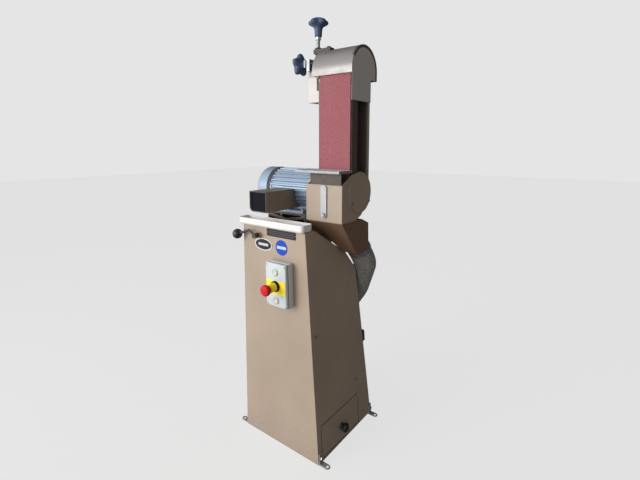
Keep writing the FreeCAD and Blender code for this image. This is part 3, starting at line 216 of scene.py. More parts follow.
def abrasive_material(name):
    """Aluminium-oxide cloth belt: grit, a slanted splice and slightly clogged streaks."""
    made, tree, shader = new_material(name)
    where = coordinates(tree)
    parts = add(tree, "ShaderNodeSeparateXYZ", {0: where})
    grit = add(tree, "ShaderNodeTexVoronoi", {"Vector": where, "Scale": 1500.0}).outputs["Distance"]
    tone = noise(tree, where, 700.0, 3.0, 0.8)
    dark, pale = rgba((0.20, 0.052, 0.064)), rgba((0.365, 0.118, 0.136))
    colour_now = blend_colour(tree, ramp(tree, tone, 0.35, 0.65), dark, pale)
    streak = noise(tree, coordinates(tree, (1.0, 1.0, 0.05)), 90.0, 4.0, 0.6)
    clogged = ramp(tree, streak, 0.52, 0.72, 0.0, 0.35)
    colour_now = blend_colour(tree, clogged, colour_now, rgba((0.30, 0.150, 0.145)))
    slant = math_node(tree, "ADD", parts.outputs[2], math_node(tree, "MULTIPLY", parts.outputs[0], 0.45))
    near = math_node(tree, "ABSOLUTE", math_node(tree, "SUBTRACT", slant, 1.225))
    splice = ramp(tree, near, 0.0022, 0.0010, 0.0, 0.22)
    colour_now = blend_colour(tree, splice, colour_now, rgba((0.16, 0.05, 0.05)))
    # Inside the belt loop the cloth backing shows, coloured near black: the backing's own colour darkened
    # as painted shade inside the loop.
    above = math_node(tree, "MINIMUM", math_node(tree, "MAXIMUM", parts.outputs[2], AXIS_Z), IDLER_Z)
    line = add(tree, "ShaderNodeCombineXYZ", {0: parts.outputs[0], 1: AXIS_Y, 2: above}).outputs[0]
    reach = add(tree, "ShaderNodeVectorMath", {0: where, 1: line}, operation="DISTANCE").outputs["Value"]
    backing_and_shade = ramp(tree, reach, 0.0483, 0.0480)
    colour_now = blend_colour(tree, backing_and_shade, colour_now, rgba((0.060, 0.044, 0.042)))
    tree.links.new(colour_now, shader.inputs["Base Color"])
    tree.links.new(ramp(tree, tone, 0.4, 0.75, 0.95, 0.45), shader.inputs["Roughness"])
    step = bump(tree, splice, 0.4, 0.0004)
    tree.links.new(bump(tree, grit, 0.6, 0.0005, step), shader.inputs["Normal"])
    return made


def rubber_material(name):
    made, tree, shader = new_material(name)
    where = coordinates(tree)
    bloom = noise(tree, where, 55.0, 5.0, 0.7)
    black, grey = rgba((0.03, 0.03, 0.032)), rgba((0.12, 0.11, 0.10))
    colour_now = blend_colour(tree, ramp(tree, bloom, 0.45, 0.75, 0.0, 0.6), black, grey)
    tree.links.new(colour_now, shader.inputs["Base Color"])
    tree.links.new(ramp(tree, bloom, 0.3, 0.7, 0.65, 0.9), shader.inputs["Roughness"])
    tree.links.new(bump(tree, noise(tree, where, 800.0), 0.2, 0.0003), shader.inputs["Normal"])
    return made


def duct_material(name):
    """Coated-fabric extraction hose: woven cloth between the wire turns, dusty in patches."""
    made, tree, shader = new_material(name)
    where = coordinates(tree)
    weave = noise(tree, where, 900.0, 2.0, 0.8)
    mottle = noise(tree, where, 120.0, 5.0, 0.75)
    dark, pale = rgba((0.12, 0.115, 0.11)), rgba((0.36, 0.35, 0.34))
    colour_now = blend_colour(tree, ramp(tree, mottle, 0.35, 0.65), dark, pale)
    dusty = ramp(tree, noise(tree, where, 22.0, 4.0), 0.45, 0.7, 0.0, 0.5)
    colour_now = blend_colour(tree, dusty, colour_now, rgba((0.27, 0.24, 0.215)))
    tree.links.new(colour_now, shader.inputs["Base Color"])
    tree.links.new(ramp(tree, mottle, 0.3, 0.7, 0.45, 0.8), shader.inputs["Roughness"])
    tree.links.new(bump(tree, weave, 0.5, 0.0006), shader.inputs["Normal"])
    return made


def paper_material(name):
    made, tree, shader = new_material(name)
    where = coordinates(tree)
    fibre = noise(tree, coordinates(tree, (1.0, 1.0, 0.4)), 500.0, 5.0, 0.7)
    soot = noise(tree, where, 25.0, 4.0)
    clean, sooty = rgba((0.74, 0.70, 0.60)), rgba((0.42, 0.38, 0.33))
    colour_now = blend_colour(tree, ramp(tree, soot, 0.4, 0.75), clean, sooty)
    tree.links.new(colour_now, shader.inputs["Base Color"])
    shader.inputs["Roughness"].default_value = 0.9
    tree.links.new(bump(tree, fibre, 0.4, 0.0005), shader.inputs["Normal"])
    return made


def brushed_plate(name, colour, rough, metallic=0.0):
    """Printed or anodised plate with a faint rolled grain."""
    made, tree, shader = new_material(name)
    grain = noise(tree, coordinates(tree, (0.04, 1.0, 1.0)), 1500.0, 3.0, 0.7)
    colour_now = blend_colour(tree, ramp(tree, grain, 0.35, 0.65), rgba(colour, 0.85), rgba(colour, 1.15))
    tree.links.new(colour_now, shader.inputs["Base Color"])
    tree.links.new(ramp(tree, grain, 0.3, 0.7, rough, rough + 0.15), shader.inputs["Roughness"])
    shader.inputs["Metallic"].default_value = metallic
    shader.inputs["Specular IOR Level"].default_value = 0.15
    tree.links.new(bump(tree, grain, 0.12, 0.0001), shader.inputs["Normal"])
    return made


MATERIALS = {
    "beige_paint": painted("beige_paint", (0.345, 0.270, 0.207), fold=0.0045),
    "cream_paint": painted("cream_paint", (0.560, 0.520, 0.500), wear=0.4),
    "tray_paint": painted("tray_paint", (0.690, 0.680, 0.675), wear=0.4),
    "brown_paint": painted("brown_paint", (0.170, 0.098, 0.060), rough=0.5),
    # The hood's +X side plate is coloured much lighter than the wrap: painted light on that side.
    "grey_hood": painted("grey_hood", (0.245, 0.232, 0.232), rough=0.36, metallic=0.40, wear=0.35,
                         faces=((1, 0, 0), (0.62, 0.58, 0.56))),
    "zinc": metal("zinc", (0.44, 0.46, 0.48), 0.42),
    "steel": metal("steel", (0.34, 0.35, 0.37), 0.42, (0.05, 1.0, 1.0)),
    "dark_steel": painted("dark_steel", (0.030, 0.028, 0.028), rough=0.5, under=(0.2, 0.2, 0.2)),
    "motor_silver": painted("motor_silver", (0.285, 0.375, 0.495), rough=0.32, metallic=0.30,
                            under=(0.5, 0.5, 0.5)),
    "aluminium": metal("aluminium", (0.50, 0.51, 0.53), 0.36, (1.0, 0.1, 0.1)),
    "black_plastic": plastic("black_plastic", (0.050, 0.075, 0.150), 0.40, wear=0.10),
    "ball_black": plastic("ball_black", (0.012, 0.012, 0.015), 0.30, wear=0.10),
    "gloss_black": plastic("gloss_black", (0.006, 0.007, 0.012), 0.45, texture=0.03, wear=0.05, shine=0.05),
    "grey_plastic": plastic("grey_plastic", (0.50, 0.52, 0.53), 0.42),
    "white_plastic": plastic("white_plastic", (0.50, 0.550, 0.57), 0.40),
    "red_plastic": plastic("red_plastic", (0.58, 0.008, 0.014), 0.45, texture=0.05, shine=0.20),
    "yellow_plastic": plastic("yellow_plastic", (0.98, 0.74, 0.030), 0.40, texture=0.08, shine=0.3),
    "green_plastic": plastic("green_plastic", (0.49, 0.60, 0.53), 0.34, texture=0.05),
    "pale_red": plastic("pale_red", (0.61, 0.50, 0.50), 0.34, texture=0.05),
    "blank_label": brushed_plate("blank_label", (0.026, 0.024, 0.027), 0.42),
    "blue_label": brushed_plate("blue_label", (0.014, 0.066, 0.44), 0.40),
    "pale_label": brushed_plate("pale_label", (0.50, 0.54, 0.60), 0.42),
    "ruled_label": brushed_plate("ruled_label", (0.086, 0.080, 0.085), 0.42),
    "bright_edge": brushed_plate("bright_edge", (0.60, 0.60, 0.62), 0.34, 0.3),
    # Near-black brown on the table bracket: painted shade under the table.
    "bracket_shade_brown": painted("bracket_shade_brown", (0.052, 0.032, 0.020), rough=0.5),
    # A darker copy of the beige paint: painted shade over the terminal box. Its front faces are near black.
    "box_shaded_paint": painted("box_shaded_paint", (0.205, 0.160, 0.122), faces=((0, -1, 0), (0.022, 0.020, 0.022))),
    # The plinth's front faces are near black: painted shade under the motor.
    "plinth_shaded_front_paint": painted("plinth_shaded_front_paint", (0.320, 0.250, 0.190),
                            faces=((0, -1, 0), (0.060, 0.050, 0.045))),
    # The table's top faces get a bright blue-white: painted highlight on the top.
    "table_steel_lit_top": painted("table_steel_lit_top", (0.250, 0.262, 0.278), rough=0.38, metallic=0.25, wear=0.2,
                           faces=((0, 0, 1), (0.620, 0.620, 0.700))),
    "strip_zinc": painted("strip_zinc", (0.385, 0.400, 0.425), rough=0.50, metallic=0.20, wear=0.2),
    "foot_grey": painted("foot_grey", (0.300, 0.290, 0.280), rough=0.45, metallic=0.2,
                         under=(0.12, 0.10, 0.09)),
    "rubber": rubber_material("rubber"),
    "abrasive": abrasive_material("abrasive"),
    "hose_fabric": duct_material("hose_fabric"),
    "filter_paper": paper_material("filter_paper"),
    "copper_iron": metal("copper_iron", (0.60, 0.33, 0.16), 0.45),
    # Dark brown that stands for shade: painted shade along the hood's edging and on the platen beside the
    # belt.
    "rim_shade_brown": painted("rim_shade_brown", (0.070, 0.052, 0.047), rough=0.5),
}


# ================================================================ CAD nodes: material and softened edges
BEVEL_WIDTH = 0.0008
UNBEVELLED = {"pedestal_shell", "abrasive_belt", "filter_cartridge", "motor_bearings", "idler_bearings"}
OWN_LOOK = {
    "foot_brackets": "foot_grey",
    "top_tray": "tray_paint",
    "shaker_lever": "dark_steel",
    "tension_bridge": "dark_steel",
    # The platen is coloured with the painted-shade brown.
    "platen": "rim_shade_brown",
    "table_bracket": "bracket_shade_brown",
    "work_table": "table_steel_lit_top",
    "clamp_strip": "strip_zinc",
    "tension_yoke": "strip_zinc",
    "terminal_box": "box_shaded_paint",
    "motor_plinth": "plinth_shaded_front_paint",
    "power_inlet": "ball_black",
}

for part in frame["record"]["subparts"]:
    obj = frame["nodes"][part["node"]]
    look = MATERIALS[OWN_LOOK.get(part["node"], part["material_slot"])]
    if obj.material_slots:
        for place in obj.material_slots:
            place.link = "OBJECT"
            place.material = look
    else:
        obj.data.materials.append(look)
    if part["node"] not in UNBEVELLED:
        weld = obj.modifiers.new("weld", "WELD")
        weld.merge_threshold = 0.00002
        bevel = obj.modifiers.new("bevel", "BEVEL")
        bevel.width = BEVEL_WIDTH
        bevel.segments = 2
        bevel.limit_method = "ANGLE"
        bevel.angle_limit = math.radians(40)
        bevel.harden_normals = False
        weighted = obj.modifiers.new("weighted", "WEIGHTED_NORMAL")
        weighted.keep_sharp = True


# ================================================================ mesh helpers
def piece(name, bm, body, look, smooth=True, replaced=()):
    """Turns a bmesh into an object that rides on a body."""
    bmesh.ops.recalc_face_normals(bm, faces=bm.faces)
    data = bpy.data.meshes.new(name)
    bm.to_mesh(data)
    bm.free()
    for polygon in data.polygons:
        polygon.use_smooth = smooth
    obj = bpy.data.objects.new(name, data)
    bpy.context.scene.collection.objects.link(obj)
    data.materials.append(MATERIALS[look])
    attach(obj, body)
    if replaced:
        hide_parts(*replaced)


LOBES_FROM = 0.42


def lathe_mesh(profile, place, segments, lobes=0, waist=0.0):
    """Revolves (along, radius) pairs about local Z; lobes cut scallops that fade towards the axis."""
    bm = bmesh.new()
    widest = max(radius for along, radius in profile)
    rings = []
    for along, radius in profile:
        if radius < 1e-6:
            rings.append([bm.verts.new(place @ Vector((0, 0, along)))])
            continue
        depth = waist * max(0.0, (radius / widest - LOBES_FROM) / (1 - LOBES_FROM))
        ring = []
        for i in range(segments):
            turn = 2 * math.pi * i / segments
            reach = radius * (1 - depth * (1 - math.cos(lobes * turn)) / 2)
            corner = Vector((reach * math.sin(turn), reach * math.cos(turn), along))
            ring.append(bm.verts.new(place @ corner))
        rings.append(ring)
    for low, high in zip(rings, rings[1:]):
        for i in range(segments):
            j = (i + 1) % segments
            corners = [low[i % len(low)], low[j % len(low)], high[j % len(high)], high[i % len(high)]]
            unique = list(dict.fromkeys(corners))
            if len(unique) > 2:
                bm.faces.new(unique)
    return bm


def axis_place(origin, direction):
    """A matrix that puts local Z along direction at origin."""
    turn = Vector(direction).to_track_quat("Z", "Y").to_matrix().to_4x4()
    return Matrix.Translation(origin) @ turn


def rounded_profile(corners, radius=0.0006, steps=3):
    """Lathe profile whose inner corners are rounded."""
    out = [corners[0]]
    for before, here, after in zip(corners, corners[1:], corners[2:]):
        a, b, c = Vector(before), Vector(here), Vector(after)
        cut = min(radius, (a - b).length * 0.45, (c - b).length * 0.45)
        start = b + (a - b).normalized() * cut
        end = b + (c - b).normalized() * cut
        for k in range(steps + 1):
            t = k / steps
            out.append(tuple(start * (1 - t) ** 2 + b * 2 * t * (1 - t) + end * t ** 2))
    out.append(corners[-1])
    return out


def block_mesh(low, high, place, radius, steps=3):
    """A block with every edge rounded."""
    bm = bmesh.new()
    bmesh.ops.create_cube(bm, size=1.0)
    low, high = Vector(low), Vector(high)
    size = high - low
    for vert in bm.verts:
        vert.co = Vector((vert.co[k] * size[k] for k in range(3))) + (low + high) / 2
    bmesh.ops.bevel(bm, geom=bm.edges[:], offset=radius, segments=steps, profile=0.5, affect="EDGES")
    bm.transform(place)
    return bm


def plate_mesh(outline, thickness, place, rim, rim_height):
    """A thin plate along local -Y from an outline in X and Z, with a raised rim."""
    bm = bmesh.new()
    centre = Vector((sum(p[0] for p in outline), 0, sum(p[1] for p in outline))) / len(outline)

    def ring(scale_in, y):
        made = []
        for x, z in outline:
            towards = Vector((x, 0, z)) - centre
            shrunk = towards * (1 - scale_in / towards.length)
            made.append(bm.verts.new(place @ (centre + shrunk + Vector((0, y, 0)))))
        return made

    top = -thickness - rim_height
    soft = rim_height * 0.5
    loops = [
        ring(0, 0), ring(0, top + soft), ring(soft, top), ring(rim, top),
        ring(rim + soft, top + soft), ring(rim + soft * 2, -thickness),
    ]
    count = len(outline)
    for a, b in zip(loops, loops[1:]):
        for i in range(count):
            j = (i + 1) % count
            bm.faces.new((a[i], a[j], b[j], b[i]))
    bm.faces.new(loops[-1])
    bm.faces.new(list(reversed(loops[0])))
    return bm


def rounded_rectangle(x, z, radius, steps=6):
    outline = []
    for cx, cz, start in (
        (x[1] - radius, z[1] - radius, 0), (x[0] + radius, z[1] - radius, 90),
        (x[0] + radius, z[0] + radius, 180), (x[1] - radius, z[0] + radius, 270),
    ):
        for k in range(steps + 1):
            angle = math.radians(start + 90 * k / steps)
            outline.append((cx + radius * math.cos(angle), cz + radius * math.sin(angle)))
    return outline


def ellipse(centre, rx, rz, steps=72):
    angles = [2 * math.pi * k / steps for k in range(steps)]
    return [(centre[0] + rx * math.cos(a), centre[1] + rz * math.sin(a)) for a in angles]


def thread_profile(start, end, crest, root, pitch):
    """Lathe profile of a screw thread with a chamfered tip."""
    profile = [(start, 0.0), (start, root)]
    turns = int((end - start) / pitch)
    for k in range(turns):
        here = start + pitch * k
        profile += [(here + pitch * 0.15, root), (here + pitch * 0.5, crest), (here + pitch * 0.65, crest)]
    profile += [(end, root), (end, 0.0)]
    return profile


def hex_mesh(across, thickness, place, chamfer=0.0008):
    """A hexagon nut or head along local Z, chamfered on its top corners."""
    bm = bmesh.new()
    radius = across / math.sqrt(3)
    rings = []
    for along, reach in (
        (0, radius - chamfer), (chamfer * 0.6, radius), (thickness - chamfer, radius),
        (thickness, radius - chamfer * 1.6),
    ):
        ring = []
        for k in range(6):
            angle = math.pi * k / 3
            corner = Vector((reach * math.cos(angle), reach * math.sin(angle), along))
            ring.append(bm.verts.new(place @ corner))
        rings.append(ring)
    for low, high in zip(rings, rings[1:]):
        for i in range(6):
            j = (i + 1) % 6
            bm.faces.new((low[i], low[j], high[j], high[i]))
    bm.faces.new(list(reversed(rings[0])))
    bm.faces.new(rings[-1])
    return bm


# ================================================================ star grips and their screws
UP = (0, 0, 1)
tension = axis_place((SLIDE_X, AXIS_Y, 0), UP)
star_top = [
    (1.4460, 0.0), (1.4460, 0.0118), (1.4520, 0.0124), (1.4680, 0.0132), (1.4760, 0.0156),
    (1.4810, 0.0212), (1.4845, 0.0290), (1.4880, 0.0342), (1.4925, 0.0358), (1.4965, 0.0350),
    (1.4995, 0.0310), (1.5028, 0.0235), (1.5055, 0.0160), (1.5068, 0.0110), (1.5072, 0.0082),
    (1.5064, 0.0074), (1.5064, 0.0),
]
bm = lathe_mesh(star_top, tension, 100, lobes=5, waist=0.26)
piece("tension_star", bm, "tension_grip", "black_plastic", replaced=("tension_knob",))
cap = [(1.5064, 0.0), (1.5064, 0.0070), (1.5084, 0.0064), (1.5088, 0.0)]
piece("tension_cap", lathe_mesh(cap, tension, 40), "tension_grip", "dark_steel")
thread = thread_profile(1.3590, 1.4440, 0.00595, 0.0051, 0.0030)
piece("tension_thread", lathe_mesh(thread, tension, 28), "tension_grip", "steel")
nut_place = axis_place((SLIDE_X, AXIS_Y, 1.436), UP)
piece("tension_nut", hex_mesh(0.017, 0.010, nut_place), "tension_grip", "zinc", smooth=False)

# The tracking grip points away from the arm along -X.
tracking = axis_place((0, TRACK_Y, TRACK_Z), (-1, 0, 0))
star_side = [
    (-0.0337, 0.0), (-0.0337, 0.0092), (-0.0270, 0.0100), (-0.0240, 0.0130), (-0.0215, 0.0210),
    (-0.0190, 0.0310), (-0.0150, 0.0372), (-0.0100, 0.0388), (-0.0050, 0.0376), (-0.0020, 0.0325),
    (-0.0002, 0.0225), (0.0006, 0.0120), (0.0006, 0.0085), (-0.0004, 0.0078), (-0.0004, 0.0),
]
bm = lathe_mesh(star_side, tracking, 100, lobes=5, waist=0.30)
piece("tracking_star", bm, "tracking_grip", "black_plastic", replaced=("tracking_knob",))
cap = [(-0.0004, 0.0), (-0.0004, 0.0074), (0.0006, 0.0066), (0.0009, 0.0)]
piece("tracking_cap", lathe_mesh(cap, tracking, 40), "tracking_grip", "dark_steel")
thread = thread_profile(-0.0630, -0.0310, 0.00395, 0.0033, 0.00125)
piece("tracking_thread", lathe_mesh(thread, tracking, 24), "tracking_grip", "steel")
collar = rounded_profile([(-0.0443, 0.0), (-0.0443, 0.0070), (-0.0413, 0.0070), (-0.0413, 0.0)])
piece("tracking_collar", lathe_mesh(collar, tracking, 40), "tracking_grip", "steel")

# ================================================================ ball grips
ball = Vector((-0.153, -0.219, 0.771))
BALL_R = 0.0175
BALL_STEPS = 28
COLLAR_AT = 0.0150
lever_axis = Vector((0.050, 0, 0.017)).normalized()
angles = [math.pi * k / BALL_STEPS for k in range(BALL_STEPS + 1)]
sphere = [(-BALL_R * math.cos(angle), BALL_R * math.sin(angle)) for angle in angles]
ball_and_collar = [(along, radius) for along, radius in sphere if along < COLLAR_AT]
ball_and_collar += [(0.0156, 0.0078), (0.0172, 0.0072), (0.0172, 0.0)]
piece("lever_grip", lathe_mesh(ball_and_collar, axis_place(ball, lever_axis), 48), "shaker", "ball_black",
      replaced=("lever_ball",))

drawer_y = -0.0335
drawer_z = 0.062
knob = [
    (0.1725, 0.0), (0.1725, 0.0105), (0.1745, 0.0108), (0.1765, 0.0090), (0.1790, 0.0080),
    (0.1812, 0.0092), (0.1835, 0.0130), (0.1865, 0.0160), (0.1900, 0.0169), (0.1938, 0.0163),
    (0.1970, 0.0143), (0.1994, 0.0110), (0.2007, 0.0070), (0.2012, 0.0030), (0.2013, 0.0),
]
knob_place = axis_place((0, drawer_y, drawer_z), (1, 0, 0))
piece("drawer_grip", lathe_mesh(knob, knob_place, 56), "drawer", "ball_black",
      replaced=("drawer_knob",))

# ================================================================ switch on the leaning front
OUT = Matrix.Rotation(math.radians(90), 4, "X")


def on_face(x, z, y=0.0):
    """Local Z points straight out of the pedestal's front."""
    return FRONT @ Matrix.Translation((x, y, z)) @ OUT


bm = block_mesh((-0.004, -0.024, 0.551), (0.087, 0.0, 0.702), FRONT, 0.0030)
piece("switch_base", bm, "pedestal", "grey_plastic", replaced=("switch_enclosure",))
bm = block_mesh((-0.0032, SWITCH_FACE, 0.5518), (0.0862, -0.0248, 0.7012), FRONT, 0.0045, 4)
piece("switch_front", bm, "pedestal", "white_plastic")
bm = block_mesh((-0.0022, -0.0256, 0.5528), (0.0852, -0.0232, 0.7002), FRONT, 0.0005, 1)
piece("switch_seal", bm, "pedestal", "rubber")
for x in (0.0035, 0.0795):
    for z in (0.5585, 0.6945):
        screw = rounded_profile([(-0.002, 0.0), (-0.002, 0.0032), (0.0008, 0.0032), (0.0008, 0.0)], 0.0005)
        bm = lathe_mesh(screw, on_face(x, z, SWITCH_FACE), 24)
        piece("switch_screw_%d_%d" % (x * 1000, z * 1000), bm, "pedestal", "zinc")

yellow = rounded_rectangle((0.0002, 0.0828), (0.598, 0.643), 0.003)
bm = plate_mesh(yellow, 0.0007, FRONT @ Matrix.Translation((0, SWITCH_FACE, 0)), 0.0016, 0.0005)
piece("yellow_panel", bm, "pedestal", "yellow_plastic", replaced=("yellow_plate",), smooth=False)
estop_place = on_face(SWITCH_X, ESTOP_Z, SWITCH_FACE)
shroud = rounded_profile([
    (0.0, 0.0165), (0.0030, 0.0165), (0.0040, 0.0150), (0.0330, 0.0142), (0.0340, 0.0136),
    (0.0340, 0.0114), (0.0, 0.0114), (0.0, 0.0165)], 0.0006)
piece("estop_shroud", lathe_mesh(shroud, estop_place, 56), "pedestal", "yellow_plastic")

mushroom = [
    (-0.006, 0.0), (-0.006, 0.0109), (0.0400, 0.0109), (0.0415, 0.0130), (0.0420, 0.0165),
    (0.0430, 0.0181), (0.0455, 0.0185), (0.0495, 0.0185), (0.0522, 0.0181), (0.0540, 0.0168),
    (0.0553, 0.0140), (0.0564, 0.0100), (0.0571, 0.0052), (0.0573, 0.0),
]
piece("estop_mushroom", lathe_mesh(mushroom, estop_place, 64), "estop", "red_plastic",
      replaced=("estop_button",))
collar_nut = rounded_profile(
    [(0.0009, 0.0142), (0.0009, 0.0185), (0.0085, 0.0178), (0.0085, 0.0142)], 0.0006)
piece("estop_collar", lathe_mesh(collar_nut, estop_place, 56), "pedestal", "gloss_black")
bezel = rounded_profile([
    (-0.001, 0.0), (-0.001, 0.0125), (0.0016, 0.0125), (0.0022, 0.0118), (0.0022, 0.0094),
    (-0.0005, 0.0092), (-0.0005, 0.0)], 0.0004)
push_cap = [
    (-0.008, 0.0), (-0.008, 0.0088), (0.0022, 0.0088), (0.0029, 0.0082), (0.0030, 0.0072),
    (0.0025, 0.0055), (0.0021, 0.0030), (0.0020, 0.0),
]
BUTTONS = (
    ("start", START_Z, "green_plastic", "green_plastic"),
    ("stop", STOP_Z, "pale_red", "red_plastic"),
)
for name, z, look, slot in BUTTONS:
    place = on_face(SWITCH_X, z, SWITCH_FACE)
    piece(name + "_bezel", lathe_mesh(bezel, place, 56), "pedestal", "zinc")
    piece(name + "_cap", lathe_mesh(push_cap, place, 48), name, look, replaced=(name + "_button",))

# ================================================================ blank plates
OVAL_CENTRE = (-0.045, 0.745)
ROUND_CENTRE = (0.038, 0.745)
bm = plate_mesh(rounded_rectangle((-0.026, 0.102), (0.779, 0.804), 0.003), 0.0008, FRONT, 0.0010, 0.0004)
piece("name_plate", bm, "pedestal", "blank_label", replaced=("label_plates",), smooth=False)
bm = plate_mesh(ellipse(OVAL_CENTRE, 0.041, 0.022), 0.0008, FRONT, 0.0030, 0.0006)
piece("oval_badge", bm, "pedestal", "bright_edge", smooth=False)
bm = plate_mesh(ellipse(OVAL_CENTRE, 0.0362, 0.0178), 0.0012, FRONT, 0.0010, 0.0003)
piece("oval_field", bm, "pedestal", "blank_label", smooth=False)
bm = plate_mesh(ellipse(ROUND_CENTRE, 0.026, 0.026), 0.0006, FRONT, 0.0014, 0.0004)
piece("round_badge", bm, "pedestal", "blue_label", smooth=False)


def plain_band(name, x, z, thickness, look):
    """A plain printed band on a plate."""
    outline = rounded_rectangle(x, z, min(0.002, (z[1] - z[0]) * 0.45))
    bm = plate_mesh(outline, thickness, FRONT, 0.0001, 0.00005)
    piece(name, bm, "pedestal", look, smooth=False)


plain_band("oval_band", (-0.068, -0.022), (0.7405, 0.7495), 0.0014, "pale_label")
plain_band("round_band", (0.0175, 0.0585), (0.7400, 0.7500), 0.0009, "pale_label")
for k, z in enumerate((0.7855, 0.7915, 0.7975)):
    plain_band("name_rule_%d" % k, (-0.018, 0.094), (z - 0.0012, z + 0.0012), 0.0011, "ruled_label")
for x in (-0.0225, 0.0985):
    rivet = [(-0.0005, 0.0), (-0.0005, 0.0016), (0.0010, 0.0015), (0.0016, 0.0009), (0.0018, 0.0)]
    bm = lathe_mesh(rivet, on_face(x, 0.7915), 20)
    piece("plate_rivet_%d" % round(x * 1000 + 100), bm, "pedestal", "zinc")

# ================================================================ seal between motor and fan cowl
seal = rounded_profile([(-0.1290, 0.0747), (-0.1290, 0.0756), (-0.1170, 0.0756), (-0.1170, 0.0747)], 0.0003)
piece("cowl_seal", lathe_mesh(seal, axis_place((0, AXIS_Y, AXIS_Z), (1, 0, 0)), 96), "pedestal", "rubber")

# ================================================================ flexible duct
normal = Vector((0, math.cos(REAR_ANGLE), math.sin(REAR_ANGLE)))
up_slope = Vector((0, -math.sin(REAR_ANGLE), math.cos(REAR_ANGLE)))
inlet = Vector((INLET_X, REAR_FOOT_Y, 0)) + up_slope * INLET_Z
DUCT_R = 0.0430
BORE_R = 0.0402
RIB_PITCH = 0.0085
RIB_HEIGHT = 0.0022


def bend_points(corners, radii, step):
    """Evenly spaced points on straight runs joined by arcs."""
    points = [corners[0]]
    for i, radius in enumerate(radii):
        corner = corners[i + 1]
        arriving = (corner - corners[i]).normalized()
        leaving = (corners[i + 2] - corner).normalized()
        turn = arriving.angle(leaving)
        reach = radius * math.tan(turn / 2)
        centre_line = (leaving - arriving).normalized()
        centre = corner + centre_line * (radius / math.cos(turn / 2))
        first = corner - arriving * reach
        axis = arriving.cross(leaving).normalized()
        points.append(first)
        count = max(2, int(radius * turn / step))
        for k in range(1, count + 1):
            points.append(centre + Matrix.Rotation(turn * k / count, 3, axis) @ (first - centre))
    points.append(corners[-1])
    dense = []
    for a, b in zip(points, points[1:]):
        count = max(1, round((b - a).length / step))
        dense += [a.lerp(b, k / count) for k in range(count)]
    return dense + [points[-1]]


def duct_mesh(points, segments=56):
    """A ribbed hose: helical wire turns stand out of the cloth; the bore is smooth."""
    bm = bmesh.new()
    before = points[:1] + points[:-1]
    after = points[1:] + points[-1:]
    tangents = [(b - a).normalized() for a, b in zip(before, after)]
    side = tangents[0].orthogonal().normalized()
    outer, inner = [], []
    travelled = 0.0
    for i, (point, tangent) in enumerate(zip(points, tangents)):
        if i:
            travelled += (point - points[i - 1]).length
        side = (side - tangent * side.dot(tangent)).normalized()
        other = tangent.cross(side)
        ring_out, ring_in = [], []
        for k in range(segments):
            angle = 2 * math.pi * k / segments
            direction = side * math.cos(angle) + other * math.sin(angle)
            phase = 2 * math.pi * travelled / RIB_PITCH + angle
            rib = max(0.0, math.cos(phase)) ** 2
            ring_out.append(bm.verts.new(point + direction * (DUCT_R - RIB_HEIGHT + RIB_HEIGHT * rib)))
            ring_in.append(bm.verts.new(point + direction * BORE_R))
        outer.append(ring_out)
        inner.append(ring_in)
    for rings in (outer, inner):
        for a, b in zip(rings, rings[1:]):
            for k in range(segments):
                j = (k + 1) % segments
                bm.faces.new((a[k], a[j], b[j], b[k]))
    for end in (0, -1):
        for k in range(segments):
            j = (k + 1) % segments
            bm.faces.new((outer[end][k], outer[end][j], inner[end][j], inner[end][k]))
    return bm


duct_corners = [
    DUCT_START + DUCT_OUT * 0.044,
    DUCT_START + DUCT_OUT * 0.134,
    inlet + normal * 0.107,
    inlet + normal * 0.006,
]
duct_line = bend_points(duct_corners, (0.090, 0.057), 0.0012)
piece("duct_hose", duct_mesh(duct_line), "pedestal", "hose_fabric", replaced=("flexible_duct",))

# ================================================================ grooved rubber tyre on the drum
TYRE_LEFT = 0.100
TYRE_RIGHT = 0.218
TYRE_BORE = 0.0396
TYRE_R = 0.0475
GROOVES = 8
GROOVE_FLOOR = 0.0445

tyre = [(TYRE_LEFT, TYRE_BORE), (TYRE_LEFT, TYRE_R - 0.0007), (TYRE_LEFT + 0.0008, TYRE_R)]
for k in range(GROOVES):
    middle = TYRE_LEFT + (TYRE_RIGHT - TYRE_LEFT) * (k + 0.5) / GROOVES
    tyre += [(middle - 0.0022, TYRE_R), (middle - 0.0014, GROOVE_FLOOR)]
    tyre += [(middle + 0.0014, GROOVE_FLOOR), (middle + 0.0022, TYRE_R)]
tyre += [(TYRE_RIGHT - 0.0008, TYRE_R), (TYRE_RIGHT, TYRE_R - 0.0007), (TYRE_RIGHT, TYRE_BORE)]
tyre.append((TYRE_LEFT, TYRE_BORE))
bm = lathe_mesh(tyre, axis_place((0, AXIS_Y, AXIS_Z), (1, 0, 0)), 72)
piece("tyre_grooved", bm, "drive", "rubber", replaced=("drum_tyre",))

# ================================================================ hood edging
HOOD_Y = 0.003
HOOD_Z = 1.323
HOOD_R = 0.077
EDGING_START = math.radians(152)
EDGING_STEPS = 48


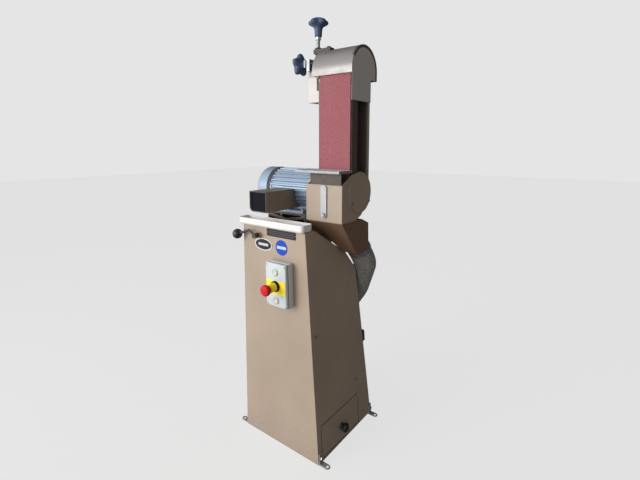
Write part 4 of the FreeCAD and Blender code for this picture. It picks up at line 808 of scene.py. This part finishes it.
def edging_mesh():
    """Folded lip along the arch of the hood's right side plate, and down its rear leg. Its dark brown is
    painted shade along the lip.
    """
    bm = bmesh.new()
    path = []
    for k in range(EDGING_STEPS + 1):
        angle = EDGING_START * (1 - k / EDGING_STEPS)
        outwards = Vector((0, math.cos(angle), math.sin(angle)))
        path.append((Vector((0, HOOD_Y, HOOD_Z)) + outwards * HOOD_R, outwards))
    path.append((Vector((0, HOOD_Y + HOOD_R, 1.2945)), Vector((0, 1, 0))))
    section = [
        (0.2268, -0.0085), (0.2290, -0.0080), (0.2296, -0.0055), (0.2296, -0.0006),
        (0.2290, 0.0006), (0.2225, 0.0006), (0.2225, -0.0004), (0.2268, -0.0004),
    ]
    rings = []
    for point, outwards in path:
        rings.append([bm.verts.new(point + outwards * r + Vector((x, 0, 0))) for x, r in section])
    for a, b in zip(rings, rings[1:]):
        for k in range(len(section)):
            j = (k + 1) % len(section)
            bm.faces.new((a[k], a[j], b[j], b[k]))
    bm.faces.new(rings[0])
    bm.faces.new(list(reversed(rings[-1])))
    return bm


piece("hood_edging", edging_mesh(), "arm", "rim_shade_brown", smooth=False)

# ================================================================ camera
CAMERA_AT = (0.9077, -1.1430, 1.0800)
CAMERA_PITCH = 7.81
CAMERA_TURN = 36.93
SENSOR = 36.0
FOCAL_LENGTH = 22.278375
SHIFT_DOWN = 0.0625

camera_data = bpy.data.cameras.new("camera")
camera_data.sensor_width = SENSOR
camera_data.lens = FOCAL_LENGTH
camera_data.shift_y = -SHIFT_DOWN
camera = bpy.data.objects.new("camera", camera_data)
camera.location = CAMERA_AT
camera.rotation_euler = (math.radians(90 - CAMERA_PITCH), 0, math.radians(CAMERA_TURN))
bpy.context.scene.collection.objects.link(camera)
bpy.context.scene.camera = camera

# ================================================================ floor and light
BACKGROUND = 0.783
FLOOR_HALF = 14.0

floor_mesh = bpy.data.meshes.new("floor")
corners = [(x * FLOOR_HALF, y * FLOOR_HALF, 0) for x, y in ((-1, -1), (1, -1), (1, 1), (-1, 1))]
floor_mesh.from_pydata(corners, [], [(0, 1, 2, 3)])
floor = bpy.data.objects.new("floor", floor_mesh)
bpy.context.scene.collection.objects.link(floor)
floor_look, tree, shader = new_material("floor")
shader.inputs["Base Color"].default_value = (0.10, 0.10, 0.10, 1)
shader.inputs["Roughness"].default_value = 1.0
shader.inputs["Specular IOR Level"].default_value = 0.0
shader.inputs["Emission Color"].default_value = (1, 1, 1, 1)
shader.inputs["Emission Strength"].default_value = BACKGROUND * 0.90
floor_mesh.materials.append(floor_look)
floor.visible_diffuse = False
floor.visible_glossy = False

world = bpy.data.worlds.new("studio")
bpy.context.scene.world = world
world.use_nodes = True
tree = world.node_tree
tree.nodes.clear()
direction = add(tree, "ShaderNodeTexCoord").outputs["Generated"]
towards = Vector((-0.50, -0.82, 0.16)).normalized()
softbox = ramp(tree, dot_product(tree, direction, towards), 0.10, 0.95, 0.10, 1.45)
lighting = add(tree, "ShaderNodeBackground", {"Color": (1.0, 0.985, 0.965, 1), "Strength": softbox})
seen = add(tree, "ShaderNodeBackground", {"Color": (1, 1, 1, 1), "Strength": BACKGROUND})
ray = add(tree, "ShaderNodeLightPath").outputs["Is Camera Ray"]
both = add(tree, "ShaderNodeMixShader", {0: ray, 1: lighting.outputs[0], 2: seen.outputs[0]})
add(tree, "ShaderNodeOutputWorld", {0: both.outputs[0]})


def area_light(name, place, target, size, power, colour):
    data = bpy.data.lights.new(name, "AREA")
    data.shape = "RECTANGLE"
    data.size, data.size_y = size
    data.energy = power
    data.color = colour
    obj = bpy.data.objects.new(name, data)
    obj.location = place
    obj.rotation_euler = (Vector(target) - Vector(place)).to_track_quat("-Z", "Y").to_euler()
    bpy.context.scene.collection.objects.link(obj)


area_light("key", (-1.25, -2.9, 1.40), (0, 0, 0.65), (1.4, 1.6), 64.0, (1.0, 0.985, 0.96))
area_light("top", (0.2, 0.3, 3.2), (0.0, 0.0, 1.0), (1.2, 1.2), 1.5, (1.0, 1.0, 1.0))
area_light("side", (3.2, -0.7, 1.0), (0.1, 0, 0.55), (1.2, 2.0), 9.6, (1.0, 0.94, 0.88))

bpy.context.scene.view_settings.view_transform = "Standard"
